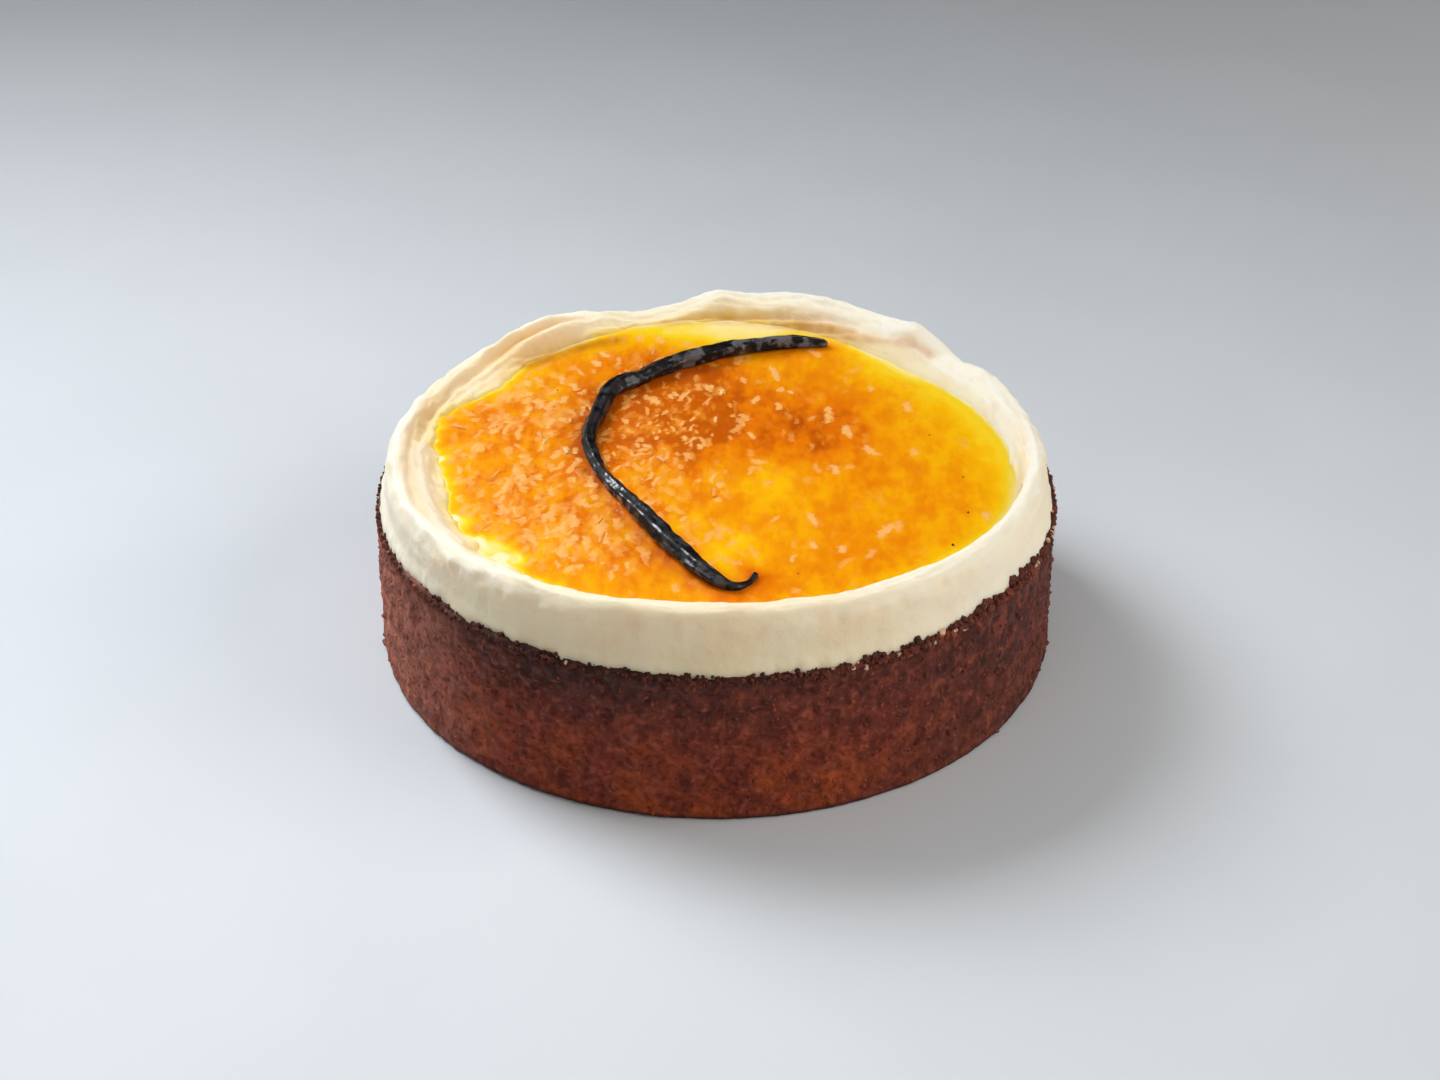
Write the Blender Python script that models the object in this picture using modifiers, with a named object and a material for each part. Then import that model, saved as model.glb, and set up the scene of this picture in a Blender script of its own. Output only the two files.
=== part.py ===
"""A round olive oil cake: a dark crumbly sponge, a layer of cream with an uneven raised rim,
a pool of citrus jam inside the rim and one vanilla pod lying on the jam.

Units are metres, +Z is up, the cake stands on z = 0 and its axis is the Z axis.
The side that faces a viewer is -Y. Angles run anticlockwise from +X, seen from above.
"""

import math
import random

import bmesh
import bpy
from mathutils import Matrix, Vector, noise
from mathutils.geometry import interpolate_bezier

MM = 0.001
GAP = 0.3 * MM  # clearance between pieces that touch
MERGE = 0.01 * MM
TURN_STEPS = 120  # facets round the cream and the jam, which share them

# Sponge
SPONGE_RADIUS = 79.7 * MM
SPONGE_TAPER = 0.4 * MM  # how much narrower it is under the shoulder
SPONGE_HEIGHT = 37.2 * MM
SPONGE_FOOT_ROUND = 0.6 * MM
SPONGE_SHOULDER = 1.8 * MM
SPONGE_STEPS = 140
SPONGE_ROWS = 11
CRUMB_SIZE = 5.5 * MM
CRUMB_DEPTH = 0.5 * MM
CRUMB_ROUGHNESS = 0.6  # share of the next finer crumb in the relief

# Cream
CREAM_RADIUS = 77 * MM
CREAM_FOOT_RADIUS = 78 * MM
CREAM_FOOT_ROUND = 0.7 * MM
CREAM_FOOT_FLARE = 3.6 * MM  # height over which the wall widens to its foot
CREAM_BASE = SPONGE_HEIGHT + GAP
CREAM_FLOOR = 44.4 * MM  # under the jam
FLOOR_RADIUS = 63.4 * MM  # the flat part of that floor
BANK_RADIUS = 68.8 * MM  # where the soft bank of the jam meets the inside of the crest
BANK_RISE = 0.8 * MM
CREST_RADIUS = 73 * MM
CREST_HEIGHT = 49.7 * MM  # before the lumps
CREST_OUTER_DROP = 3.6 * MM
CREST_INNER_WIDTH = 3.0 * MM
CREST_INNER_DROP = 2.2 * MM

# (direction in degrees, half width in degrees, rise in metres) of each lump and dip of the rim
RIM_LUMPS = (
    (-88, 30, 2.2 * MM),
    (-35, 22, 0.4 * MM),
    (16, 5, -0.9 * MM),
    (36, 4.5, -1.9 * MM),
    (48, 4, 2.3 * MM),
    (70, 9, 2.4 * MM),
    (90.5, 3, 2.9 * MM),
    (104, 8, -3.0 * MM),
    (126, 8, 1.1 * MM),
    (153, 12, -1.6 * MM),
)

# Jam
JAM_LEVEL = 46.2 * MM
JAM_DOME = 0.4 * MM  # how much higher the middle stands than the shore
JAM_MIDDLE = 61 * MM  # radius of the dome
JAM_RADIUS = 65.9 * MM
JAM_SHORE_DROP = 0.45 * MM
JAM_CLEARANCE = 0.45 * MM  # straight up from the cream
SHORE_RADIUS = 67 * MM  # where the level of the jam meets the bank of cream

# (direction, half width, push outwards) of each bay and cape of the jam's shore
SHORE_WAVES = (
    (-25, 13, 3.4 * MM),
    (-5, 12, 1.8 * MM),
    (45, 17, -4.6 * MM),
    (97, 16, -2.6 * MM),
    (128, 8, -2.8 * MM),
    (149, 7, -5.0 * MM),
    (165, 6, 1.6 * MM),
    (-168, 9, -3.4 * MM),
)

# Shreds of fruit that stand out of the jam
SHRED_COUNT = 100
SHRED_SEED = 7
SHRED_LENGTH = (3.2 * MM, 5.6 * MM)
SHRED_WIDTH = (1.6 * MM, 2.4 * MM)
SHRED_FLATNESS = (0.55, 0.75)  # thickness as a share of the width
SHRED_SINK = 0.06  # share of a shred's thickness by which its middle lies under the surface
SHRED_REACH = 0.95  # share of the shore's radius that they stay inside
SHRED_LEAN = 0.35  # how much sparser they lie at the right than at the left
GOLDEN_ANGLE = math.pi * (3 - math.sqrt(5))

# Vanilla pod: its line seen from above, in millimetres, from the blunt end to the hooked tip
POD_LINE_MM = (
    (27.9, 52.6),
    (18.3, 52.0),
    (4.0, 48.0),
    (-10.1, 40.4),
    (-19.3, 32.4),
    (-25.4, 26.2),
    (-28.3, 14.0),
    (-29.8, 3.6),
    (-26.4, -11.0),
    (-18.7, -26.0),
    (-10.5, -41.5),
    (-2.2, -54.2),
    (3.2, -58.6),
    (7.0, -56.9),
    (8.8, -53.3),
)
# (share of the line, radius in millimetres): flat and narrow after the bend, thin at the hook
POD_RADII_MM = (
    (0.0, 1.3),
    (0.1, 1.9),
    (0.25, 2.2),
    (0.4, 2.0),
    (0.5, 1.6),
    (0.6, 1.95),
    (0.75, 1.8),
    (0.85, 1.2),
    (0.93, 0.7),
    (0.98, 0.75),
    (1.0, 0.95),
)
POD_PIECES = 5  # straight runs between two points of the line
POD_CLEARANCE = 5.0 * MM  # kept free of shreds on each side of its line

SPONGE_COLOUR = (0.085, 0.022, 0.010)
CREAM_COLOUR = (0.86, 0.76, 0.56)
JAM_COLOUR = (0.85, 0.30, 0.015)
POD_COLOUR = (0.012, 0.009, 0.008)


def clear_scene():
    """Removes whatever the scene holds."""
    for obj in list(bpy.data.objects):
        bpy.data.objects.remove(obj, do_unlink=True)


def new_collection(name):
    """A collection of that name, linked to the scene."""
    collection = bpy.data.collections.new(name)
    bpy.context.scene.collection.children.link(collection)
    return collection


def food_material(name, colour, roughness):
    """A plain Principled material."""
    material = bpy.data.materials.new(name)
    material.use_nodes = True
    shader = material.node_tree.nodes["Principled BSDF"]
    shader.inputs["Base Color"].default_value = (*colour, 1.0)
    shader.inputs["Roughness"].default_value = roughness
    shader.inputs["Metallic"].default_value = 0.0
    material.diffuse_color = (*colour, 1.0)
    return material


def finish(obj, collection, material, sharp_angle=50):
    """Moves the object into its collection, gives it its material and smooth shading."""
    for other in list(obj.users_collection):
        other.objects.unlink(obj)
    collection.objects.link(obj)
    obj.data.materials.clear()
    obj.data.materials.append(material)
    obj.data.shade_smooth()
    obj.data.set_sharp_from_angle(angle=math.radians(sharp_angle))
    return obj


def applied(obj):
    """The object with its modifiers turned into plain mesh."""
    bpy.context.view_layer.update()
    graph = bpy.context.evaluated_depsgraph_get()
    mesh = bpy.data.meshes.new_from_object(obj.evaluated_get(graph), depsgraph=graph)
    result = bpy.data.objects.new(obj.name, mesh)
    result.matrix_world = obj.matrix_world
    name = obj.name
    bpy.data.objects.remove(obj, do_unlink=True)
    result.name = name
    return result


def turned(name, profile, steps):
    """A solid of revolution. The profile runs from the axis, down its outer side and back."""
    mesh = bpy.data.meshes.new(name)
    points = [(radius, 0.0, height) for radius, height in profile]
    mesh.from_pydata(points, [(i, i + 1) for i in range(len(points) - 1)], [])
    obj = bpy.data.objects.new(name, mesh)
    bpy.context.scene.collection.objects.link(obj)
    screw = obj.modifiers.new("Turn", "SCREW")
    screw.axis = "Z"
    screw.angle = math.tau
    screw.steps = steps
    screw.render_steps = steps
    screw.use_merge_vertices = True
    screw.merge_threshold = MERGE
    solid = applied(obj)
    shape = bmesh.new()
    shape.from_mesh(solid.data)
    bmesh.ops.recalc_face_normals(shape, faces=shape.faces)
    shape.to_mesh(solid.data)
    shape.free()
    return solid


def reshape(obj, rule):
    """Moves each vertex to where the rule puts it."""
    for vertex in obj.data.vertices:
        vertex.co = rule(vertex.co)
    obj.data.update()


def smooth_step(low, high, value):
    """0 below low, 1 above high and an S curve between."""
    share = min(max((value - low) / (high - low), 0.0), 1.0)
    return share * share * (3 - 2 * share)


def bumps_at(angle, bumps):
    """The sum of bell curves placed round the cake, at an angle in radians."""
    total = 0.0
    for centre, half_width, size in bumps:
        away = (math.degrees(angle) - centre + 180) % 360 - 180
        total += size * math.exp(-0.5 * (away / half_width) ** 2)
    return total


def arc(centre, width, height, start, end, steps):
    """Points along part of an ellipse. Angles are in degrees: 0 is outwards and 90 is up."""
    points = []
    for step in range(steps + 1):
        angle = math.radians(start + (end - start) * step / steps)
        points.append((centre[0] + width * math.cos(angle), centre[1] + height * math.sin(angle)))
    return points


def crumb_relief(point):
    """Height of the crust's crumbs at a point of its side, about -1 to 1."""
    coarse = noise.noise(point / CRUMB_SIZE)
    fine = noise.noise(point * 2 / CRUMB_SIZE + Vector((3.1, 7.7, 1.9)))
    return coarse + CRUMB_ROUGHNESS * fine


def sponge_profile():
    """The side of the sponge, with a small round at the foot and a worn shoulder."""
    top_radius = SPONGE_RADIUS - SPONGE_TAPER
    low = SPONGE_FOOT_ROUND
    high = SPONGE_HEIGHT - SPONGE_SHOULDER
    shoulder_centre = (top_radius - SPONGE_SHOULDER, high)
    profile = [(0, SPONGE_HEIGHT)]
    profile += arc(shoulder_centre, SPONGE_SHOULDER, SPONGE_SHOULDER, 90, 0, 2)
    for row in range(1, SPONGE_ROWS + 1):
        share = row / SPONGE_ROWS
        profile.append((top_radius + SPONGE_TAPER * share, high + (low - high) * share))
    profile.append((SPONGE_RADIUS - SPONGE_FOOT_ROUND, 0))
    profile.append((0, 0))
    return profile


def make_sponge():
    """The sponge: a low drum whose side is rough with crumbs, and flat above and below."""
    sponge = turned("sponge", sponge_profile(), SPONGE_STEPS)

    def roughen(point):
        radius = math.hypot(point.x, point.y)
        side = smooth_step(0.9 * SPONGE_RADIUS, 0.97 * SPONGE_RADIUS, radius)
        off_the_plate = 0.35 + 0.65 * smooth_step(0, 4 * MM, point.z)
        push = CRUMB_DEPTH * crumb_relief(point) * side * off_the_plate
        scale = 1 + push / radius if radius > 0 else 1
        return Vector((point.x * scale, point.y * scale, point.z))

    reshape(sponge, roughen)
    return sponge


def bed_height(radius):
    """Height of the cream under the jam: flat, then a hollow curve up to the shore."""
    share = max(radius - FLOOR_RADIUS, 0) / (SHORE_RADIUS - FLOOR_RADIUS)
    return CREAM_FLOOR + (JAM_LEVEL - CREAM_FLOOR) * share * share


def cream_profile():
    """Half section of the cream: bed of the jam, bank, crest that falls outwards, upright wall."""
    outer_width = CREAM_RADIUS - CREST_RADIUS
    outer_centre = (CREST_RADIUS, CREST_HEIGHT - CREST_OUTER_DROP)
    inner_centre = (CREST_RADIUS, CREST_HEIGHT - CREST_INNER_DROP)
    profile = [(0, CREAM_FLOOR)]
    for share in (0, 0.35, 0.7, 1):
        radius = FLOOR_RADIUS + (SHORE_RADIUS - FLOOR_RADIUS) * share
        profile.append((radius, bed_height(radius)))
    profile.append((BANK_RADIUS, JAM_LEVEL + BANK_RISE))
    profile += arc(inner_centre, CREST_INNER_WIDTH, CREST_INNER_DROP, 168, 90, 3)
    profile += arc(outer_centre, outer_width, CREST_OUTER_DROP, 62, 0, 3)
    profile.append((CREAM_RADIUS + 0.3 * MM, CREAM_BASE + CREAM_FOOT_FLARE))
    profile.append((CREAM_FOOT_RADIUS, CREAM_BASE + CREAM_FOOT_ROUND))
    profile.append((CREAM_FOOT_RADIUS - CREAM_FOOT_ROUND, CREAM_BASE))
    profile.append((0, CREAM_BASE))
    return profile


def follow_the_shore(point):
    """Pushes the shore of the jam in and out, and fades that to nothing at the crest and the axis."""
    radius = math.hypot(point.x, point.y)
    if radius == 0:
        return point.copy()
    angle = math.atan2(point.y, point.x)
    inside = min(radius / SHORE_RADIUS, 1.0)
    share = inside * (1 - smooth_step(SHORE_RADIUS + 1 * MM, CREST_RADIUS, radius))
    scale = 1 + bumps_at(angle, SHORE_WAVES) * share / radius
    return Vector((point.x * scale, point.y * scale, point.z))


def make_cream():
    """The cream: a shallow tray with a rim that rises and sinks as a spatula left it."""
    cream = turned("cream", cream_profile(), TURN_STEPS)

    def raise_rim(point):
        radius = math.hypot(point.x, point.y)
        angle = math.atan2(point.y, point.x)
        of_wall = smooth_step(CREAM_BASE + 3 * MM, CREST_HEIGHT - 1 * MM, point.z)
        of_slope = smooth_step(SHORE_RADIUS, CREST_RADIUS - 1 * MM, radius)
        rise = bumps_at(angle, RIM_LUMPS) * min(of_wall, of_slope)
        moved = follow_the_shore(point) if point.z > CREAM_BASE + MM else point.copy()
        moved.z += rise
        return moved

    reshape(cream, raise_rim)
    return cream


def jam_profile():
    """Half section of the jam: a low dome, a rounded shore and the hollow curve under it."""
    profile = []
    for share in (0, 0.45, 0.8, 1):
        profile.append((JAM_MIDDLE * share, jam_top(JAM_MIDDLE * share)))
    profile.append((JAM_RADIUS - 1.2 * MM, JAM_LEVEL - JAM_SHORE_DROP / 3))
    profile.append((JAM_RADIUS, JAM_LEVEL - JAM_SHORE_DROP))
    for radius in (JAM_RADIUS - 1.0 * MM, FLOOR_RADIUS, 0):
        profile.append((radius, bed_height(radius) + JAM_CLEARANCE))
    return profile


def jam_top(radius):
    """Height of the jam's dome at a distance from the axis."""
    return JAM_LEVEL + JAM_DOME * max(1 - (radius / JAM_MIDDLE) ** 2, 0)


def pod_line():
    """Points along the pod's middle seen from above: a smooth curve through the named points."""
    corners = [Vector((x * MM, y * MM, 0)) for x, y in POD_LINE_MM]
    tangents = [
        (corners[min(i + 1, len(corners) - 1)] - corners[max(i - 1, 0)]) / 6
        for i in range(len(corners))
    ]
    line = [corners[0]]
    for i in range(len(corners) - 1):
        start, end = corners[i], corners[i + 1]
        run = interpolate_bezier(
            start, start + tangents[i], end - tangents[i + 1], end, POD_PIECES + 1
        )
        line.extend(run[1:])
    return line


def shred_spots():
    """Places of the shreds: a sunflower pattern shaken by a seeded draw, clear of the pod."""
    draw = random.Random(SHRED_SEED)
    line = pod_line()
    candidates = int(SHRED_COUNT * 1.6)
    spots = []
    for number in range(candidates):
        angle = GOLDEN_ANGLE * number + draw.uniform(-0.25, 0.25)
        shore = SHRED_REACH * (JAM_RADIUS + bumps_at(angle, SHORE_WAVES)) - 1.5 * MM
        reach = shore * math.sqrt((number + 0.5) / candidates)
        spot = Vector((reach * math.cos(angle), reach * math.sin(angle), 0))
        kept = draw.random() > SHRED_LEAN * (1 + spot.x / JAM_RADIUS)
        clear_of_pod = min((spot - point).length for point in line) > POD_CLEARANCE
        if kept and clear_of_pod:
            spots.append(spot)
    return spots[-SHRED_COUNT:]


def add_shreds(collection):
    """One stretched, turned icosphere for each shred of fruit."""
    draw = random.Random(SHRED_SEED + 1)
    for number, spot in enumerate(shred_spots()):
        length = draw.uniform(*SHRED_LENGTH)
        width = draw.uniform(*SHRED_WIDTH)
        thickness = width * draw.uniform(*SHRED_FLATNESS)
        mesh = bpy.data.meshes.new("shred")
        shape = bmesh.new()
        bmesh.ops.create_icosphere(shape, subdivisions=1, radius=0.5)
        turn = Matrix.Rotation(draw.uniform(0, math.tau), 4, "Z")
        tilt = Matrix.Rotation(draw.uniform(-0.15, 0.15), 4, "Y")
        stretch = Matrix.Diagonal((length, width, thickness, 1))
        height = jam_top(spot.length) - SHRED_SINK * thickness
        place = Matrix.Translation((spot.x, spot.y, height))
        shape.transform(place @ turn @ tilt @ stretch)
        shape.to_mesh(mesh)
        shape.free()
        collection.objects.link(bpy.data.objects.new(f"shred_{number}", mesh))


def make_jam():
    """The jam: a shallow pool up to its level, with shreds of fruit fused to its top."""
    jam = turned("jam", jam_profile(), TURN_STEPS)
    reshape(jam, follow_the_shore)
    bpy.context.scene.collection.objects.link(jam)
    shreds = new_collection("shreds")
    add_shreds(shreds)
    join = jam.modifiers.new("Join shreds", "BOOLEAN")
    join.operation = "UNION"
    join.operand_type = "COLLECTION"
    join.collection = shreds
    join.solver = "MANIFOLD"
    joined = applied(jam)
    for shred in list(shreds.objects):
        bpy.data.objects.remove(shred, do_unlink=True)
    bpy.data.collections.remove(shreds)
    return joined


def pod_radius(share):
    """Half thickness of the pod at a share of its length."""
    for (low, thin), (high, thick) in zip(POD_RADII_MM, POD_RADII_MM[1:]):
        if share <= high:
            return (thin + (thick - thin) * smooth_step(low, high, share)) * MM
    return POD_RADII_MM[-1][1] * MM


def make_pod():
    """The vanilla pod: a thin tube with closed ends, lying on the jam along its own line."""
    line = pod_line()
    curve = bpy.data.curves.new("vanilla_pod", "CURVE")
    curve.dimensions = "3D"
    curve.bevel_depth = MM
    curve.bevel_resolution = 2
    curve.use_fill_caps = True
    spline = curve.splines.new("POLY")
    spline.points.add(len(line) - 1)
    for i, spot in enumerate(line):
        radius = pod_radius(i / (len(line) - 1))
        resting = jam_top(spot.length) + GAP + radius
        spline.points[i].co = (spot.x, spot.y, resting, 1)
        spline.points[i].radius = radius / MM
    obj = bpy.data.objects.new("vanilla_pod", curve)
    bpy.context.scene.collection.objects.link(obj)
    pod = applied(obj)
    shape = bmesh.new()
    shape.from_mesh(pod.data)
    bmesh.ops.remove_doubles(shape, verts=shape.verts, dist=MERGE)
    bmesh.ops.recalc_face_normals(shape, faces=shape.faces)
    shape.to_mesh(pod.data)
    shape.free()
    return pod


def main():
    """Builds the four pieces of the cake."""
    clear_scene()
    cake = new_collection("olive_oil_cake")
    finish(make_sponge(), cake, food_material("sponge", SPONGE_COLOUR, 0.85))
    finish(make_cream(), cake, food_material("cream", CREAM_COLOUR, 0.45))
    finish(make_jam(), cake, food_material("jam", JAM_COLOUR, 0.12), sharp_angle=22)
    finish(make_pod(), cake, food_material("vanilla_pod", POD_COLOUR, 0.35))


main()
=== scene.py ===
"""Looks of a round olive oil cake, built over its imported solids.

A dark crumbly sponge carries a layer of cream with a spatula-worn raised rim. Inside the rim lies
a pool of glossy citrus jam full of fruit shreds, and a curved vanilla pod lies on the jam.

Sizes are in millimetres, but for the lights and the camera, and new_piece() turns the points into
metres. +Z is up and the cake stands on z = 0 round the Z axis. The viewer is at -Y. Directions
round the cake run anticlockwise from +X, seen from above.
"""

import logging
import math
from dataclasses import dataclass, field
from enum import Enum

import bpy
import numpy as np
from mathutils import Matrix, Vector
from numpy.typing import NDArray


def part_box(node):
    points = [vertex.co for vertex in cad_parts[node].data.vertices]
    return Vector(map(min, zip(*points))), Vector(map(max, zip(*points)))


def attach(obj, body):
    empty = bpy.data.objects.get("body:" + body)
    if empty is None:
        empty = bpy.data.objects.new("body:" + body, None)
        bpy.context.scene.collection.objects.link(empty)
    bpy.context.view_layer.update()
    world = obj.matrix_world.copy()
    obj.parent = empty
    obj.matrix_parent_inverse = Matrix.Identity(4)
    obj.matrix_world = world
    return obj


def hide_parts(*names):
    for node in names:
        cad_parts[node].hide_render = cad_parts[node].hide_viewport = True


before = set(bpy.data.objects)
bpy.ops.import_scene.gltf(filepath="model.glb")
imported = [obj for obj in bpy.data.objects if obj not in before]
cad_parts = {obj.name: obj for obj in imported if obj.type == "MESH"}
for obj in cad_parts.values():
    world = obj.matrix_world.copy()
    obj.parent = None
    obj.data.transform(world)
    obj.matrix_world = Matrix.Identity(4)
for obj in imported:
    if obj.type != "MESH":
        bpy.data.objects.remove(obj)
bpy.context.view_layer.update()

LOG = logging.getLogger("olive_oil_cake")
MM = 0.001
FULL_TURN = 2 * math.pi
BODY = "root"

Numbers = NDArray[np.float64]
Indices = NDArray[np.int64]
Triple = tuple[float, float, float]
Colour = Triple
Piece = bpy.types.Object
Socket = bpy.types.NodeSocket


def srgb(*levels: int) -> Colour:
    """Turns a screen colour, red, green and blue from 0 to 255, into a shader's linear one."""
    shares = [level / 255 for level in levels]
    return tuple(part / 12.92 if part <= 0.04045 else ((part + 0.055) / 1.055) ** 2.4 for part in shares)


def smooth_step(low: float, high: float, value: Numbers) -> Numbers:
    """An S curve: 0 below low, 1 above high, and 3t^2 - 2t^3 between."""
    share = np.clip((value - low) / (high - low), 0, 1)
    return share * share * (3 - 2 * share)


def bell(away: Numbers, width: float) -> Numbers:
    """A bell curve, 1 in the middle and exp(-1) at the width."""
    return np.exp(-((away / width) ** 2))


def turn_between(angle: Numbers, centre: float) -> Numbers:
    """Degrees from a direction in degrees to each angle in radians, from -180 to 180."""
    return (np.degrees(angle) - centre + 180) % 360 - 180


def facing(angle: Numbers, centre: float, width: float) -> Numbers:
    """A bell curve of angles in radians round a direction, both it and its width in degrees."""
    return bell(turn_between(angle, centre), width)


def spot(places: Numbers, x: float, y: float, across: float, along: float) -> Numbers:
    """A bell curve round a place seen from above, with one width across and another along."""
    return np.exp(-(((places[..., 0] - x) / across) ** 2) - ((places[..., 1] - y) / along) ** 2)


def round_the_cake(radius: Numbers, angle: Numbers, height: Numbers) -> Numbers:
    """Points from distance to the axis, direction and height."""
    return np.stack([radius * np.cos(angle), radius * np.sin(angle), height], axis=-1)


# ---- Seeded noise ---------------------------------------------------------------------------

CORNERS = np.array([[i, j, k] for i in (0, 1) for j in (0, 1) for k in (0, 1)])
NEIGHBOURS = np.array([[i, j, k] for i in (-1, 0, 1) for j in (-1, 0, 1) for k in (-1, 0, 1)])
ODD_FACTORS = np.array([0x8DA6B343, 0xD8163841, 0xCB1AB31F], dtype=np.uint64)
MIX_FACTOR = np.uint64(0x9E3779B97F4A7C15)
SLOPES = np.random.default_rng(1234).normal(size=(256, 3))
SLOPES /= np.linalg.norm(SLOPES, axis=1, keepdims=True)
NOISE_GAIN = 1.6  # brings gradient noise to about -1 to 1
LINE_PARTS = 24


def scrambled(cells: Indices, seed: int) -> NDArray[np.uint64]:
    """One fixed, well mixed whole number for each cell of a cubic lattice.

    Args:
        cells: Whole-number places, three to a cell.
        seed: Another seed gives other numbers.

    Returns:
        The sum of the places times large odd numbers, folded and multiplied twice.
    """
    mixed = (cells.astype(np.uint64) * ODD_FACTORS).sum(axis=-1) + np.uint64(seed)
    for _ in range(2):
        mixed = mixed * MIX_FACTOR
        mixed = mixed ^ (mixed >> np.uint64(32))
    return mixed


def hills(points: Numbers, size: float, seed: int) -> Numbers:
    """Gradient noise: at each corner of a lattice a seeded slope, blended inside each cell.

    Args:
        points: Places, three numbers each.
        size: Edge of a lattice cell, about half the width of a hill.
        seed: Chooses the slopes.

    Returns:
        The sum over the eight corners of slope times offset, weighted by 6t^5 - 15t^4 + 10t^3
        along each axis, about -1 to 1.
    """
    scaled = points / size
    low = np.floor(scaled).astype(np.int64)
    inside = scaled - low
    eased = inside**3 * (inside * (inside * 6 - 15) + 10)
    total = np.zeros(points.shape[:-1])
    for corner in CORNERS:
        entry = (scrambled(low + corner, seed) % np.uint64(len(SLOPES))).astype(np.int64)
        weight = np.where(corner == 1, eased, 1 - eased).prod(axis=-1)
        total += weight * (SLOPES[entry] * (inside - corner)).sum(axis=-1)
    return NOISE_GAIN * total


def rough_hills(points: Numbers, size: float, octaves: int, roughness: float, seed: int) -> Numbers:
    """Gradient noise added up over sizes that halve.

    Args:
        points: Places, three numbers each.
        size: Size of the largest hills.
        octaves: How many sizes.
        roughness: Weight of each size against the one before.
        seed: Chooses the hills.

    Returns:
        The weighted mean, about -1 to 1.
    """
    weights = roughness ** np.arange(octaves)
    total = 0
    for step, weight in enumerate(weights):
        total = total + weight * hills(points, size / 2**step, seed + 17 * step)
    return total / weights.sum()


def crumbs(points: Numbers, size: float, seed: int) -> tuple[Numbers, Numbers]:
    """A pattern of cells round seeded centres, one centre in each lattice cell.

    Args:
        points: Places, three numbers each.
        size: Edge of a lattice cell.
        seed: Chooses the centres.

    Returns:
        The distance to the nearest centre in cells, and that centre's random number, 0 to 1.
    """
    scaled = points / size
    low = np.floor(scaled).astype(np.int64)
    nearest = np.full(points.shape[:-1], 9.0)
    mark = np.zeros(points.shape[:-1])
    for step in NEIGHBOURS:
        word = scrambled(low + step, seed)
        parts = [(word >> np.uint64(shift)) % np.uint64(1024) / 1024 for shift in (3, 17, 31, 45)]
        away = np.linalg.norm(scaled - (low + step + np.stack(parts[:3], axis=-1)), axis=-1)
        closer = away < nearest
        nearest = np.where(closer, away, nearest)
        mark = np.where(closer, parts[3], mark)
    return nearest, mark


# ---- The shapes that the cream and the jam share --------------------------------------------


@dataclass(frozen=True)
class Bumps:
    """Bell curves placed round the cake: (direction, half width in degrees, size)."""

    places: tuple[Triple, ...]

    def at(self, angle: Numbers) -> Numbers:
        """The sum at each angle of size times exp(-0.5 (degrees away / half width)^2)."""
        return sum(size * np.exp(-0.5 * (turn_between(angle, centre) / half) ** 2)
                   for centre, half, size in self.places)


@dataclass(frozen=True)
class Shore:
    """Where the jam meets the cream: a circle with bays and capes and a ragged edge.

    The level is the jam's at the shore, and its dome stands that much higher at the axis.
    """

    radius: float = 67
    level: float = 46.2
    dome: float = 0.4
    dome_radius: float = 61
    waves: Bumps = Bumps(((-25, 13, 3.4), (-5, 12, 1.8), (45, 17, -4.6), (88, 13, 0.7), (128, 8, -2.8),
                          (149, 7, -5.0), (165, 6, 1.6), (-168, 9, -3.4)))
    ragged_left: float = 1.7
    ragged_right: float = 0.5
    ragged_size: float = 6

    def push(self, angle: Numbers) -> Numbers:
        """How far the shore lies outside its circle.

        Args:
            angle: Directions in radians.

        Returns:
            The waves plus seeded hills read along the circle, stronger at the left.
        """
        left = smooth_step(-0.3, 0.8, -np.cos(angle))
        strength = self.ragged_right + (self.ragged_left - self.ragged_right) * left
        ring = round_the_cake(self.radius, angle, 0 * angle)
        return self.waves.at(angle) + strength * rough_hills(ring, self.ragged_size, 3, 0.55, seed=5)

    def at(self, angle: Numbers) -> Numbers:
        """The shore's distance from the axis in each direction."""
        return self.radius + self.push(angle)


SHORE = Shore()


def jam_height(radius: Numbers) -> Numbers:
    """Level of the jam: a low dome, falling as a parabola from the axis to the dome's radius."""
    return SHORE.level + SHORE.dome * np.maximum(1 - (radius / SHORE.dome_radius) ** 2, 0)


# The pod's middle line seen from above, from the blunt end to the hooked tip.
POD_LINE = ((27.9, 52.6), (18.3, 52.0), (4.0, 48.0), (-10.1, 40.4), (-19.3, 32.4), (-25.4, 26.2),
            (-28.3, 14.0), (-29.8, 3.6), (-26.4, -11.0), (-18.7, -26.0), (-10.5, -41.5), (-2.2, -54.2),
            (3.2, -58.6), (7.0, -56.9), (8.8, -53.3))

# Syrup in the fold under the cream's lip, with painted shadow under the lip and round the pod's
# blunt end: at the back left, along the back, from the pod's blunt end to the right, at that
# end, and the broad faint gold before the back fold. Each is the line seen from above, its
# width and how much of it shows.
SYRUP_AND_SHADOW_LINES = (
    (((-46.0, 43.4), (-40.0, 48.3), (-32.8, 53.3), (-25.5, 56.4)), 2.5, 1.0),
    (((-24.0, 63.0), (-16.8, 66.0), (-4.1, 67.8), (8.6, 67.4), (21.2, 64.4), (28.0, 60.6)), 0.8, 0.6),
    (((28.0, 61.4), (34.0, 55.6), (41.0, 52.2), (48.0, 48.6), (52.5, 46.0)), 1.3, 0.5),
    (((15.0, 65.0), (22.0, 62.8), (28.5, 59.9), (33.0, 56.6)), 2.0, 0.7),
    (((-14.0, 65.0), (-4.0, 66.2), (8.0, 65.8), (20.0, 62.8), (27.0, 59.0)), 1.5, 0.4),
)


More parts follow.
